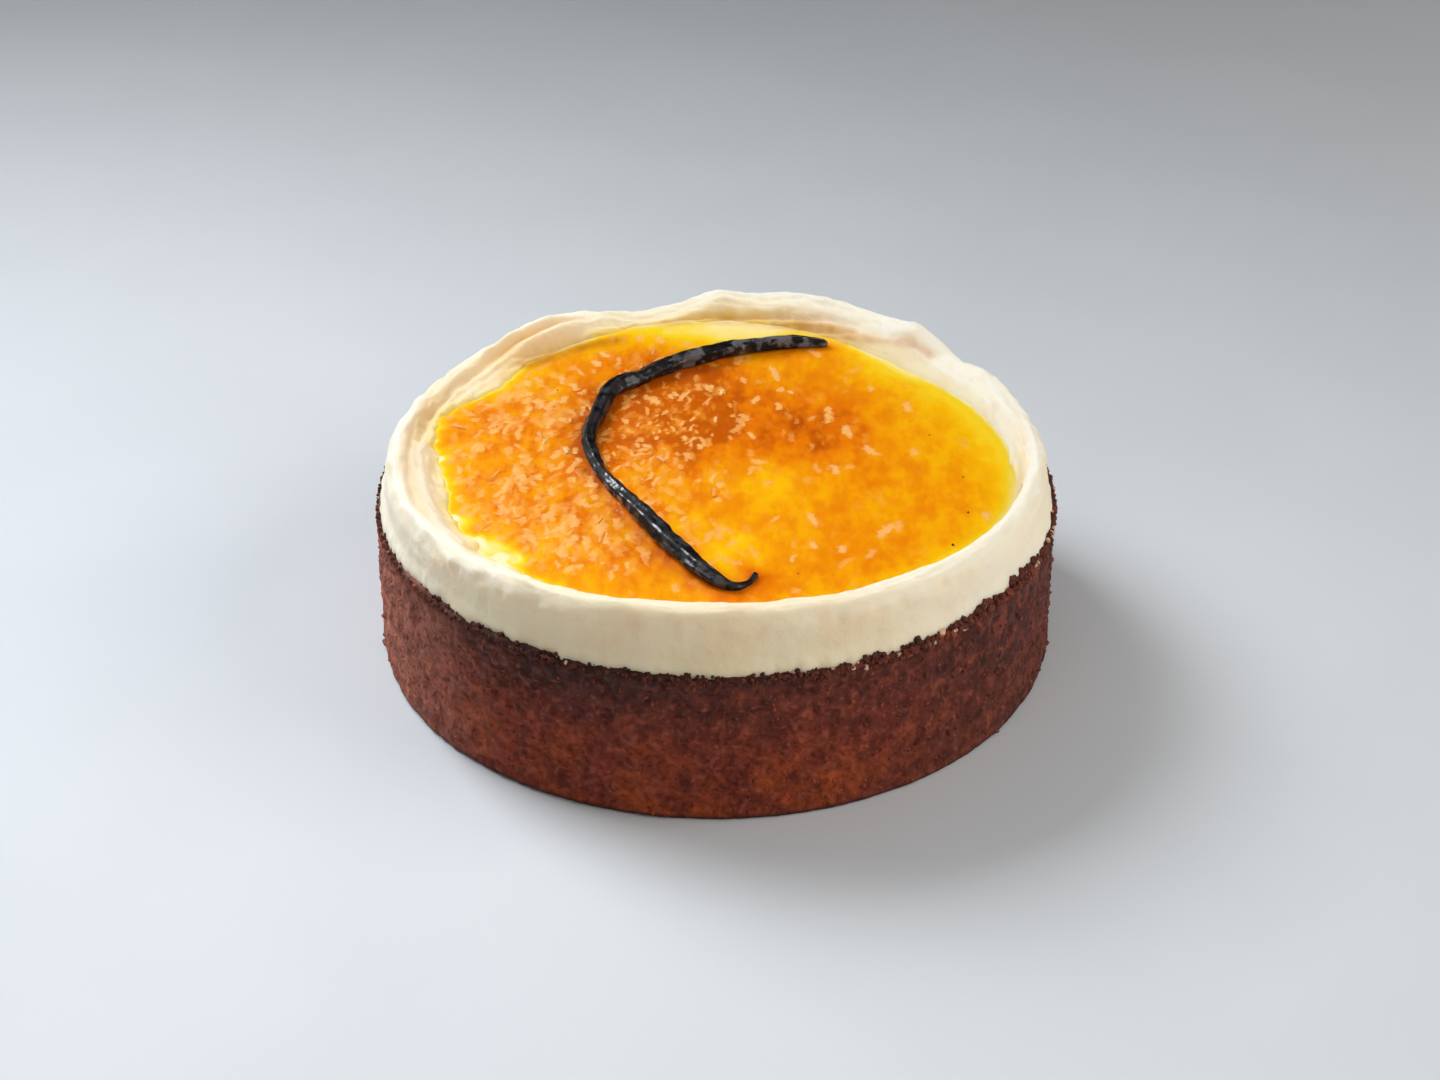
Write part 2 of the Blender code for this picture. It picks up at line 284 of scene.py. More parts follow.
def smooth_line(corners: tuple[tuple[float, float], ...], pieces: int) -> Numbers:
    """A smooth line through given points.

    Args:
        corners: The points.
        pieces: Straight runs between two of them.

    Returns:
        Points of cubic curves whose slope at each corner is half the way between its two
        neighbours, and half of that at the ends. Their inner control points lie a third of the
        slope from the corners.
    """
    places = np.array(corners)
    slopes = np.gradient(places, axis=0)
    slopes[[0, -1]] /= 2
    share = np.linspace(0, 1, pieces, endpoint=False)[None, :, None]
    rest = 1 - share
    start, end = places[:-1, None], places[1:, None]
    first, second = start + slopes[:-1, None] / 3, end - slopes[1:, None] / 3
    curve = rest**3 * start + 3 * rest**2 * share * first + 3 * rest * share**2 * second + share**3 * end
    return np.vstack([curve.reshape(-1, 2), places[-1:]])


def away_from_line(places: Numbers, line: Numbers) -> Numbers:
    """How far places lie from a line, both seen from above.

    Args:
        places: The places.
        line: The line's points, looked at a few at a time to save memory.

    Returns:
        The distance from each place to the nearest point.
    """
    nearest = np.full(places.shape[:-1], np.inf)
    for part in np.array_split(line, LINE_PARTS):
        nearest = np.minimum(nearest, np.linalg.norm(places[..., None, :] - part, axis=-1).min(axis=-1))
    return nearest


def syrup(places: Numbers) -> Numbers:
    """Syrup and painted shadow: how much of them shows.

    Args:
        places: Places seen from above.

    Returns:
        A bell curve of the distance to its lines, broken by seeded hills, 0 to 1.
    """
    shown = 0
    for corners, width, share in SYRUP_AND_SHADOW_LINES:
        shown = np.maximum(shown, share * bell(away_from_line(places, smooth_line(corners, 40)), width))
    flat = np.concatenate([places, np.zeros((*places.shape[:-1], 1))], axis=-1)
    return np.clip(shown * (0.85 + 0.5 * rough_hills(flat, 4, 2, 0.5, seed=61)), 0, 1)


# ---- Meshes from grids ----------------------------------------------------------------------


def new_piece(name: str, points: Numbers, faces: list[list[int]]) -> Piece:
    """Makes a smooth-shaded object at the origin from points and faces.

    Args:
        name: The piece's name.
        points: One point to a row, in millimetres.
        faces: Point numbers of each face.

    Returns:
        The linked object.
    """
    mesh = bpy.data.meshes.new(name)
    mesh.from_pydata((points * MM).tolist(), [], faces)
    mesh.validate()
    mesh.shade_smooth()
    piece = bpy.data.objects.new(name, mesh)
    bpy.context.scene.collection.objects.link(piece)
    return piece


def note(piece: Piece, **notes: Numbers) -> None:
    """Stores numbers for the material to read.

    Args:
        piece: The piece.
        **notes: One number for each of its points, under each name.
    """
    for name, values in notes.items():
        attribute = piece.data.attributes.new(name, "FLOAT", "POINT")
        attribute.data.foreach_set("value", values.ravel().astype(np.float32))


def ring_faces(rings: int, sides: int) -> Indices:
    """Four-sided faces of a tube of rings.

    Args:
        rings: How many rings follow each other.
        sides: Points of each ring.

    Returns:
        Point numbers, facing outwards if the rings go down.
    """
    ring, step = np.arange(rings - 1)[:, None] * sides, np.arange(sides)[None, :]
    after = (step + 1) % sides
    corners = (ring + step, ring + sides + step, ring + sides + after, ring + after)
    return np.stack(corners, axis=-1).reshape(-1, 4)


def ball_faces(count: int, rings: int, sides: int) -> list[list[int]]:
    """Faces of closed bodies, each made of rings that go down, then a top and a bottom point.

    Args:
        count: How many bodies follow each other.
        rings: Rings of each.
        sides: Points of each ring.

    Returns:
        Point numbers, facing outwards: the sides of all bodies, then their two fans.
    """
    step = np.arange(sides)
    after = (step + 1) % sides
    last, top = (rings - 1) * sides, rings * sides
    fans = np.concatenate([np.stack([0 * step + top, step, after], axis=-1),
                           np.stack([0 * step + top + 1, last + after, last + step], axis=-1)])
    starts = np.arange(count)[:, None, None] * (top + 2)
    walls = (ring_faces(rings, sides) + starts).reshape(-1, 4)
    return walls.tolist() + (fans + starts).reshape(-1, 3).tolist()


def tube_faces(count: int, rings: int, sides: int) -> list[list[int]]:
    """Faces of tubes made of rings alone, each end shut by one flat face.

    Args:
        count: How many tubes follow each other.
        rings: Rings of each.
        sides: Points of each ring.

    Returns:
        Point numbers, facing outwards where a ring runs from the left over the top, seen along
        the tube.
    """
    step = np.arange(sides)
    starts = np.arange(count)[:, None, None] * rings * sides
    walls = (ring_faces(rings, sides)[:, ::-1] + starts).reshape(-1, 4)
    ends = np.stack([step, rings * sides - 1 - step])
    return walls.tolist() + (ends + starts).reshape(-1, sides).tolist()


def spun(profile: Numbers, steps: int) -> tuple[Numbers, Numbers, Numbers]:
    """Distance to the axis, direction and height of a profile's points carried round Z."""
    angle = np.linspace(-math.pi, math.pi, steps, endpoint=False)
    return (*np.meshgrid(profile[:, 0], angle, indexing="ij"), np.repeat(profile[:, 1:], steps, axis=1))


def turned_piece(name: str, rings: Numbers, **notes: Numbers) -> Piece:
    """A closed solid of rings round the Z axis, shut at both ends by a point on the axis.

    Args:
        name: The piece's name.
        rings: Points as (ring, step, 3), from the top of the solid down its outside and back.
        **notes: Numbers for the material as (ring, step) grids; the two ends take the mean.

    Returns:
        The object. Its point order is the rings, then the top point, then the bottom point.
    """
    ends = rings[[0, -1]].mean(axis=1) * (0, 0, 1)
    piece = new_piece(name, np.vstack([rings.reshape(-1, 3), ends]), ball_faces(1, *rings.shape[:2]))
    note(piece, **{key: np.append(grid, grid[[0, -1]].mean(axis=1)) for key, grid in notes.items()})
    return piece


def lumps(name: str, middle: Numbers, size: Numbers, rings: int, sides: int,
          draw: np.random.Generator, flat: float, tone: Numbers) -> Piece:
    """Many small uneven balls as one mesh.

    Args:
        name: The piece's name.
        middle: Their middles, one to a row.
        size: Their radii.
        rings: Rings of points on each, between its two poles.
        sides: Points round each ring.
        draw: The seeded draw for their unevenness.
        flat: Height as a share of width.
        tone: A number for each, noted for the material.

    Returns:
        The object. Each ball is radius times a seeded factor along latitude and longitude.
    """
    count = len(middle)
    up = np.linspace(0, math.pi, rings + 2)[1:-1, None]
    turn = np.linspace(0, FULL_TURN, sides, endpoint=False)
    grid = round_the_cake(np.sin(up), turn, np.cos(up) * np.ones(sides)).reshape(-1, 3)
    uneven = draw.uniform(0.6, 1.3, (count, len(grid), 1))
    poles = np.broadcast_to([[0, 0, 1.0], [0, 0, -1.0]], (count, 2, 3))
    balls = np.concatenate([grid * uneven, poles], axis=1) * size[:, None, None] * (1, 1, flat)
    points = (balls + middle[:, None]).reshape(-1, 3)
    piece = new_piece(name, points, ball_faces(count, rings, sides))
    note(piece, tone=np.repeat(tone, rings * sides + 2))
    return piece


def spread_along(corners: list[tuple[float, float]], spacing: float) -> Numbers:
    """Points at an even spacing along a line through corners.

    Args:
        corners: The line's corners.
        spacing: Distance from point to point.

    Returns:
        The points, the two ends among them.
    """
    places = np.array(corners)
    run = distance_along(places)
    marks = np.linspace(0, run[-1], max(int(round(run[-1] / spacing)), 1) + 1)
    return np.stack([np.interp(marks, run, places[:, axis]) for axis in (0, 1)], axis=-1)


def distance_along(line: Numbers) -> Numbers:
    """How far each point of a line lies along it."""
    return np.append(0, np.cumsum(np.linalg.norm(np.diff(line, axis=0), axis=1)))


def softened(profile: Numbers, passes: int) -> Numbers:
    """Smooths a profile.

    Args:
        profile: Its points.
        passes: How often its inner points move to (before + 2 own + after) / 4.

    Returns:
        The smoothed points, the two ends in place.
    """
    soft = profile.copy()
    for _ in range(passes):
        soft[1:-1] = (soft[:-2] + 2 * soft[1:-1] + soft[2:]) / 4
    return soft


def arc(centre: tuple[float, float], width: float, height: float, start: float, end: float,
        steps: int) -> list[tuple[float, float]]:
    """Points along part of an ellipse.

    Args:
        centre: Its middle.
        width: Half its width.
        height: Half its height.
        start: First direction in degrees, 0 outwards and 90 up.
        end: Last direction.
        steps: Straight runs.

    Returns:
        The points.
    """
    angles = np.radians(np.linspace(start, end, steps + 1))
    return [(centre[0] + width * math.cos(turn), centre[1] + height * math.sin(turn)) for turn in angles]


# ---- Materials ------------------------------------------------------------------------------


class Blend(Enum):
    """How two colours are laid over each other."""

    COVER = "MIX"
    DARKEN = "MULTIPLY"


class Sum(Enum):
    """How two numbers are put together."""

    PLUS = "ADD"
    MINUS = "SUBTRACT"
    TIMES = "MULTIPLY"


class NodeBoard:
    """A material's nodes, with short ways to add and join them."""

    def __init__(self, name: str) -> None:
        """Makes the material, with its Principled shader and the places on the piece.

        Args:
            name: The material's name.
        """
        self.material = bpy.data.materials.new(name)
        self.material.use_nodes = True
        self.tree = self.material.node_tree
        self.shader = self.tree.nodes["Principled BSDF"]
        self.places = self.add("TexCoord", {}).outputs
        self.place = self.places["Object"]

    def feed(self, target: Socket, source: object) -> None:
        """Joins or sets one input.

        Args:
            target: The input.
            source: Another node's output, a number, a colour, or None for no change.
        """
        if isinstance(source, Socket):
            self.tree.links.new(source, target)
        elif source is not None:
            target.default_value = (*source, 1.0) if target.type == "RGBA" else source

    def add(self, kind: str, inputs: dict[int | str, object], **settings: object) -> bpy.types.Node:
        """Adds a node.

        Args:
            kind: Its type's name without ShaderNode.
            inputs: What each input, by name or number, is joined or set to.
            **settings: The node's own options.

        Returns:
            The node.
        """
        node = self.tree.nodes.new("ShaderNode" + kind)
        for name, value in settings.items():
            setattr(node, name, value)
        for key, source in inputs.items():
            self.feed(node.inputs[key], source)
        return node

    def set(self, **values: object) -> None:
        """Sets or joins the shader's inputs, named with _ for a space."""
        for name, value in values.items():
            self.feed(self.shader.inputs[name.replace("_", " ")], value)

    def stretched(self, scale: Triple, turn: Triple = (0, 0, 0), place: Socket | None = None) -> Socket:
        """The place on the piece, with each axis multiplied and then turned, in radians."""
        inputs = {"Vector": place or self.place, "Scale": scale, "Rotation": turn}
        return self.add("Mapping", inputs).outputs[0]

    def shaken(self, size: float, amount: float) -> Socket:
        """The place on the piece, pushed about by noise.

        Args:
            size: Width of the noise's spots.
            amount: How far it pushes.

        Returns:
            The place plus amount times the noise's colour.
        """
        noise = self.add("TexNoise", {"Vector": self.place, "Scale": 1 / (size * MM), "Detail": 2.0})
        inputs = {0: noise.outputs["Color"], 1: (amount * MM,) * 3, 2: self.place}
        return self.add("VectorMath", inputs, operation="MULTIPLY_ADD").outputs[0]

    def noise(self, size: float, detail: float = 3, roughness: float = 0.5,
              place: Socket | None = None) -> Socket:
        """Noise from 0 to 1: its largest spots' width, finer sizes added, their weight, and where."""
        inputs = {"Vector": place or self.place, "Scale": 1 / (size * MM), "Detail": detail}
        return self.add("TexNoise", {**inputs, "Roughness": roughness}).outputs[0]

    def noted(self, name: str) -> Socket:
        """The number that note() stored under this name."""
        return self.add("Attribute", {}, attribute_name=name).outputs["Fac"]

    def range(self, value: Socket, low: float, high: float, to_low: float = 0, to_high: float = 1) -> Socket:
        """Maps low..high to to_low..to_high along an S curve, and holds it at both ends."""
        inputs = dict(enumerate((value, low, high, to_low, to_high)))
        return self.add("MapRange", inputs, interpolation_type="SMOOTHSTEP").outputs[0]

    def span(self, axis: str, low: float, high: float, to_low: float = 0, to_high: float = 1) -> Socket:
        """The same S curve for the place along an axis, X, Y or Z, in millimetres."""
        place = self.add("SeparateXYZ", {0: self.place}).outputs[axis]
        return self.range(place, low * MM, high * MM, to_low, to_high)

    def calculate(self, kind: Sum, first: object, second: object) -> Socket:
        """Two numbers put together, held within 0 to 1."""
        return self.add("Math", {0: first, 1: second}, operation=kind.value, use_clamp=True).outputs[0]

    def plus(self, first: object, second: object) -> Socket:
        """Two numbers added, held within 0 to 1."""
        return self.calculate(Sum.PLUS, first, second)

    def times(self, first: object, second: object) -> Socket:
        """Two numbers multiplied, held within 0 to 1."""
        return self.calculate(Sum.TIMES, first, second)

    def mix(self, share: object, first: object, second: object, blend: Blend = Blend.COVER) -> Socket:
        """The second colour laid over the first, as far as the share says."""
        inputs = {0: share, 6: first, 7: second}  # the node's sockets for colours
        return self.add("Mix", inputs, data_type="RGBA", blend_type=blend.value).outputs[2]

    def layered(self, colour: object, *layers: tuple[object, object]) -> Socket:
        """Lays colours over each other in turn.

        Args:
            colour: The lowest.
            *layers: Those above it, each as (share, colour).

        Returns:
            The colour that shows.
        """
        for share, above in layers:
            colour = self.mix(share, colour, above)
        return colour

    def ramp(self, value: Socket, stops: tuple[tuple[float, Colour], ...]) -> Socket:
        """Colours along a scale.

        Args:
            value: The number, 0 to 1.
            stops: Each colour's place on the scale and the colour.

        Returns:
            The colour.
        """
        node = self.add("ValToRGB", {0: value})
        scale = node.color_ramp.elements
        while len(scale) < len(stops):
            scale.new(0.5)
        for stop, (place, _) in zip(scale, stops):
            stop.position = place
        for stop, (_, colour) in zip(scale, stops):
            stop.color = (*colour, 1.0)
        return node.outputs[0]

    def bump(self, height: Socket, depth: float, strength: object = 1.0,
             under: Socket | None = None) -> Socket:
        """Fine relief for the shader: form, depth in millimetres, strength, and relief under it."""
        inputs = {"Height": height, "Distance": depth * MM, "Strength": strength, "Normal": under}
        return self.add("Bump", inputs).outputs[0]


@dataclass(frozen=True)
class SpongeCrust:
    """Dark baked crumb: maroon brown, duller towards the top, warmer patches lower down."""

    maroon: Colour = srgb(140, 56, 33)
    dull: Colour = srgb(104, 47, 36)
    warm: Colour = srgb(176, 78, 27)
    # Painted light: this colour makes the left side paler; shaded is painted shade at the right.
    lit_left: Colour = srgb(192, 120, 98)
    shaded: Colour = srgb(80, 36, 27)
    rust: Colour = srgb(176, 84, 56)
    plum: Colour = srgb(86, 42, 42)
    # Dark flecks and crumbs, and painted shade in the side's pits.
    pit: Colour = srgb(42, 16, 12)
    # The dark top edge and foot line: partly crust, partly painted shade.
    rim: Colour = srgb(46, 26, 21)
    cream: Colour = srgb(236, 200, 178)
    patch_size: float = 15
    mottle_size: float = 4.6
    fleck_size: float = 1.6

    def base(self, board: NodeBoard) -> Socket:
        """The broad colours: dull above, warm patches below, paler at the left as painted light, darker at
        the right as painted shade.

        Args:
            board: The material's nodes.

        Returns:
            The colour.
        """
        patch = board.noise(self.patch_size, 3, 0.55)
        warmth = board.times(board.range(patch, 0.4, 0.6), board.span("Z", 26, 3))
        return board.layered(self.maroon, (board.span("Z", 14, 32, 0, 0.8), self.dull), (warmth, self.warm),
                             (board.span("X", 20, 66, 0, 0.8), self.shaded),
                             (board.span("X", -44, -72, 0, 0.85), self.lit_left))

    def material(self) -> bpy.types.Material:
        """The nodes: the broad colours, then mottling, flecks, painted shade in the pits, and the dark top
        edge and foot, partly crust and partly painted shade.

        Returns:
            The material.
        """
        board = NodeBoard("sponge_crust")
        swirled = board.stretched((1, 0.6, 1), place=board.shaken(4, 3.5))
        calm = board.span("X", 5, 60, 1, 0.4)
        mottle = board.noise(self.mottle_size, 3, 0.6, swirled)
        shade = board.ramp(mottle, ((0.3, (0.4, 0.35, 0.34)), (0.45, (0.62, 0.58, 0.57)),
                                    (0.56, (0.76, 0.74, 0.73)), (0.7, (1, 1, 1))))
        tint = board.noise(5, 3, 0.6)
        bits = board.noise(self.fleck_size, 1.5, 0.5, swirled)
        tone = board.noted("tone")
        colour = board.layered(
            board.mix(1.0, self.base(board), shade, Blend.DARKEN),
            (board.range(tint, 0.52, 0.7, 0, 0.3), self.rust),
            (board.range(tint, 0.46, 0.3, 0, 0.3), self.plum),
            (board.times(board.range(bits, 0.54, 0.72, 0, 0.4), calm), self.rust),
            (board.times(board.range(bits, 0.44, 0.3, 0, 0.45), calm), self.pit),
            (board.range(tone, 0.5, 1.0, 0, 0.4), self.rust),
            (board.range(tone, 0.5, 0.0, 0, 0.35), self.pit),
            # Painted shade in the pits of the side's relief.
            (board.times(board.noted("pit"), 0.5), self.pit),
            # Partly dark crust, partly painted shade: the top edge under the cream, and a thin line at the
            # foot where it stands on the table.
            (board.times(board.noted("edge"), 0.92), self.rim),
            (board.span("Z", 1.8, 0.3, 0, 0.9), self.rim),
            (board.times(board.noted("smear"), 0.8), self.cream),
        )
        relief = board.bump(bits, 0.35, calm, board.bump(mottle, 1.1, calm))
        board.set(Base_Color=colour, Roughness=board.range(bits, 0.3, 0.7, 0.92, 0.6), Normal=relief,
                  Specular_IOR_Level=0.3)
        return board.material


@dataclass(frozen=True)
class Cream:
    """Smooth ivory cream: whiter along the crest as painted light, with painted shade in its troughs,
    stained beside the jam.
    """

    ivory: Colour = srgb(246, 229, 196)
    warm: Colour = srgb(243, 220, 180)
    # Painted light: the whiter colour of the lit crest, the back inner face and the side walls.
    crest: Colour = srgb(255, 241, 222)
    streak: Colour = srgb(240, 212, 168)
    # Painted shade in the spatula's troughs and in the fold at the back left.
    hollow: Colour = srgb(242, 200, 138)
    shade: Colour = srgb(216, 192, 150)
    stain: Colour = srgb(254, 210, 108)
    # Syrup, and painted shadow under the lip and round the pod's end.
    syrup: Colour = srgb(202, 134, 28)
    cloud_size: float = 14

    def material(self) -> bpy.types.Material:
        """The nodes: clouds of two creams, then the colours that the piece notes, by name.

        Returns:
            The material.
        """
        board = NodeBoard("cream")
        clouds = board.range(board.noise(self.cloud_size), 0.35, 0.7)
        noted = ("crest", "streak", "hollow", "shade", "stain", "syrup")
        colour = board.layered(self.ivory, (clouds, self.warm),
                               *((board.noted(name), getattr(self, name)) for name in noted))
        smear = board.noise(2.0, 2)
        relief = board.bump(board.noise(0.5, 2), 0.05, 0.5, board.bump(smear, 0.25, 0.7))
        board.set(Base_Color=colour, Roughness=board.range(smear, 0.3, 0.7, 0.52, 0.66), Normal=relief,
                  Subsurface_Weight=0.5, Subsurface_Scale=4 * MM, Subsurface_Radius=(1.0, 0.75, 0.5),
                  Specular_IOR_Level=0.25)
        return board.material


@dataclass(frozen=True)
class JamGel:
    """Clear citrus gel over cream: pale where it is thin, amber where it is deep."""

    rim: Colour = srgb(252, 230, 176)
    film: Colour = srgb(255, 222, 112)
    pale: Colour = srgb(254, 210, 36)
    yellow: Colour = srgb(253, 186, 3)
    golden: Colour = srgb(245, 152, 1)
    rich: Colour = srgb(230, 116, 1)
    amber: Colour = srgb(162, 52, 1)
    fruit: Colour = srgb(247, 156, 40)
    pale_fruit: Colour = srgb(252, 186, 108)
    # Syrup, and painted shadow under the cream's lip and round the pod's end.
    syrup: Colour = srgb(190, 116, 8)

    def sunk(self, board: NodeBoard, size: float, turn: float) -> Socket:
        """Deep shreds: noise drawn out to over twice its width, cut off at a level.

        Args:
            board: The material's nodes.
            size: Width of a shred.
            turn: Direction of the shreds, in radians.

        Returns:
            1 in a shred, 0 between the shreds.
        """
        drawn = board.stretched((1, 0.42, 1), (0, 0, turn), board.shaken(3, 1))
        level = board.noise(size, 1.5, 0.45, drawn)
        return board.range(board.plus(level, board.times(board.noted("plenty"), 0.14)), 0.64, 0.8)

    def material(self) -> bpy.types.Material:
        """The nodes: the noted depth, shaken by noise, picks the colour; fruit shows through.

        Returns:
            The material.
        """
        board = NodeBoard("jam_gel")
        cloud = board.noise(4, 4, 0.55, board.stretched((1, 0.5, 1)))
        deep, tone = board.noted("depth"), board.noted("tone")
        uneven = board.plus(board.times(board.noted("plenty"), 0.22), 0.2)
        shake = board.times(board.range(deep, 0, 0.5), uneven)
        depth = board.plus(deep, board.times(board.range(cloud, 0.32, 0.68), shake))
        depth = board.calculate(Sum.MINUS, depth, board.times(shake, 0.5))
        colour = board.ramp(depth, (
            (0.0, self.rim), (0.05, self.film), (0.12, self.pale), (0.24, self.yellow),
            (0.46, self.golden), (0.7, self.rich), (1.0, self.amber)))
        thick = board.range(deep, 0.1, 0.4, 0, 0.42)
        pulp = board.noise(1, 2, 0.55)
        fibrous = board.range(pulp, 0.28, 0.72, 0, 0.55)
        shown = board.range(board.plus(board.noted("fruit"), fibrous), 0.5, 1)
        clear = board.times(board.range(tone, 0.2, 0.9, 0.3, 0.85), board.range(deep, 0.08, 0.3))
        colour = board.layered(
            colour,
            (board.times(self.sunk(board, 2.4, -0.5), thick), self.fruit),
            (board.times(self.sunk(board, 1.9, 0.3), thick), self.fruit),
            (board.times(shown, clear), board.mix(tone, self.fruit, self.pale_fruit)),
            (board.times(board.noted("syrup"), 0.9), self.syrup),
        )
        relief = board.bump(pulp, 0.06, 0.5, board.bump(shown, 0.05, 0.5))
        board.set(Base_Color=colour, Roughness=0.3, Normal=relief, Specular_IOR_Level=0.22,
                  Coat_Weight=0.12, Coat_Roughness=0.1, Subsurface_Weight=0.15, Subsurface_Scale=2 * MM,
                  Subsurface_Radius=(1.0, 0.45, 0.08))
        return board.material


@dataclass(frozen=True)
class CandiedFruit:
    """Shreds of fruit in the gel: peach to golden, each with its own tone."""

    golden: Colour = srgb(250, 150, 30)
    peach: Colour = srgb(250, 158, 76)
    pale: Colour = srgb(253, 192, 122)

    def material(self) -> bpy.types.Material:
        """The nodes: the noted tone picks the colour, with faint fibres and a wet gloss.

        Returns:
            The material.
        """
        board = NodeBoard("candied_fruit")
        colour = board.ramp(board.noted("tone"), ((0.0, self.golden), (0.5, self.peach), (1.0, self.pale)))
        fibre = board.noise(0.7, 3, 0.6)
        colour = board.mix(board.range(fibre, 0.42, 0.7, 0, 0.5), colour, self.golden)
        board.set(Base_Color=colour, Roughness=0.45, Normal=board.bump(fibre, 0.12, 0.5),
                  Specular_IOR_Level=0.2, Subsurface_Weight=0.3, Subsurface_Scale=2 * MM,
                  Subsurface_Radius=(1.0, 0.5, 0.2))
        return board.material


@dataclass(frozen=True)
class PodSkin:
    """Oily black-brown skin, finely lined along the pod."""

    dark: Colour = (0.0032, 0.0025, 0.003)
    worn: Colour = (0.018, 0.011, 0.01)
    # Painted reflection: lilac-grey patches of sheen.
    bloom: Colour = (0.15, 0.13, 0.135)
    lines: Triple = (9.0, 60.0, 1.0)

    def material(self) -> bpy.types.Material:
        """The nodes: lines along the UV map, brown ridges, lilac-grey painted sheen, gloss in patches.

        Returns:
            The material.
        """
        board = NodeBoard("pod_skin")
        unrolled = board.stretched(self.lines, place=board.places["UV"])
        lines = board.noise(1 / MM, 4, 0.65, unrolled)  # the UV map's unit counts as a metre
        spots = board.noise(3.2, 3, 0.55)
        bloom = board.range(board.noise(4.4, 3, 0.55, board.shaken(3, 2)), 0.47, 0.58)
        colour = board.layered(self.dark, (board.range(lines, 0.55, 0.75, 0, 0.8), self.worn),
                               (board.times(bloom, board.noted("bloom")), self.bloom))
        relief = board.bump(spots, 0.6, 0.9, board.bump(lines, 0.2, 0.8))
        board.set(Base_Color=colour, Roughness=board.range(spots, 0.4, 0.58, 0.3, 0.6), Normal=relief,
                  Specular_IOR_Level=0.18, Coat_Weight=board.range(spots, 0.52, 0.44, 0, 0.6),
                  Coat_Roughness=0.16)
        return board.material


@dataclass(frozen=True)
class BurntCrumb:
    """Brown to near-black loose crumbs at the sponge's top edge, a few of them coated in cream."""

    dark: Colour = srgb(48, 29, 22)
    brown: Colour = srgb(140, 66, 46)
    coated: Colour = srgb(216, 180, 150)

    def material(self) -> bpy.types.Material:
        """The nodes: each crumb's tone between the browns, cream above 1.2, shaken by noise, dull.

        Returns:
            The material.
        """
        board = NodeBoard("burnt_crumb")
        spots, tone = board.noise(1, 3, 0.6), board.noted("tone")
        browned = board.plus(tone, board.range(spots, 0.35, 0.65, 0, 0.3))
        colour = board.layered(self.dark, (browned, self.brown), (board.range(tone, 1.2, 2.2), self.coated))
        board.set(Base_Color=colour, Roughness=0.8, Normal=board.bump(spots, 0.3), Specular_IOR_Level=0.3)
        return board.material


@dataclass(frozen=True)
class TableTop:
    """Pale blue-grey table, very faintly clouded."""

    pale: Colour = srgb(211, 212, 214)
    clouded: Colour = srgb(209, 210, 212)

    def material(self) -> bpy.types.Material:
        """The nodes: broad soft noise between two near colours.

        Returns:
            The material.
        """
        board = NodeBoard("table_top")
        colour = board.mix(board.range(board.noise(60, 2), 0.35, 0.65), self.pale, self.clouded)
        board.set(Base_Color=colour, Roughness=0.75, Specular_IOR_Level=0.15)
        return board.material


def dress(piece: Piece, finish: bpy.types.Material, slot: str, *nodes: str) -> Piece:
    """Gives a piece its material and its body, and hides the nodes that it stands for.

    Args:
        piece: The piece.
        finish: Its material.
        slot: The record's material slot; not used.
        *nodes: CAD nodes that it replaces.

    Returns:
        The piece.
    """
    piece.data.materials.append(finish)
    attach(piece, BODY)
    if nodes:
        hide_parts(*nodes)
    piece.data.calc_loop_triangles()
    LOG.info("%s: %d triangles", piece.name, len(piece.data.loop_triangles))
    return piece


# ---- Sponge ---------------------------------------------------------------------------------


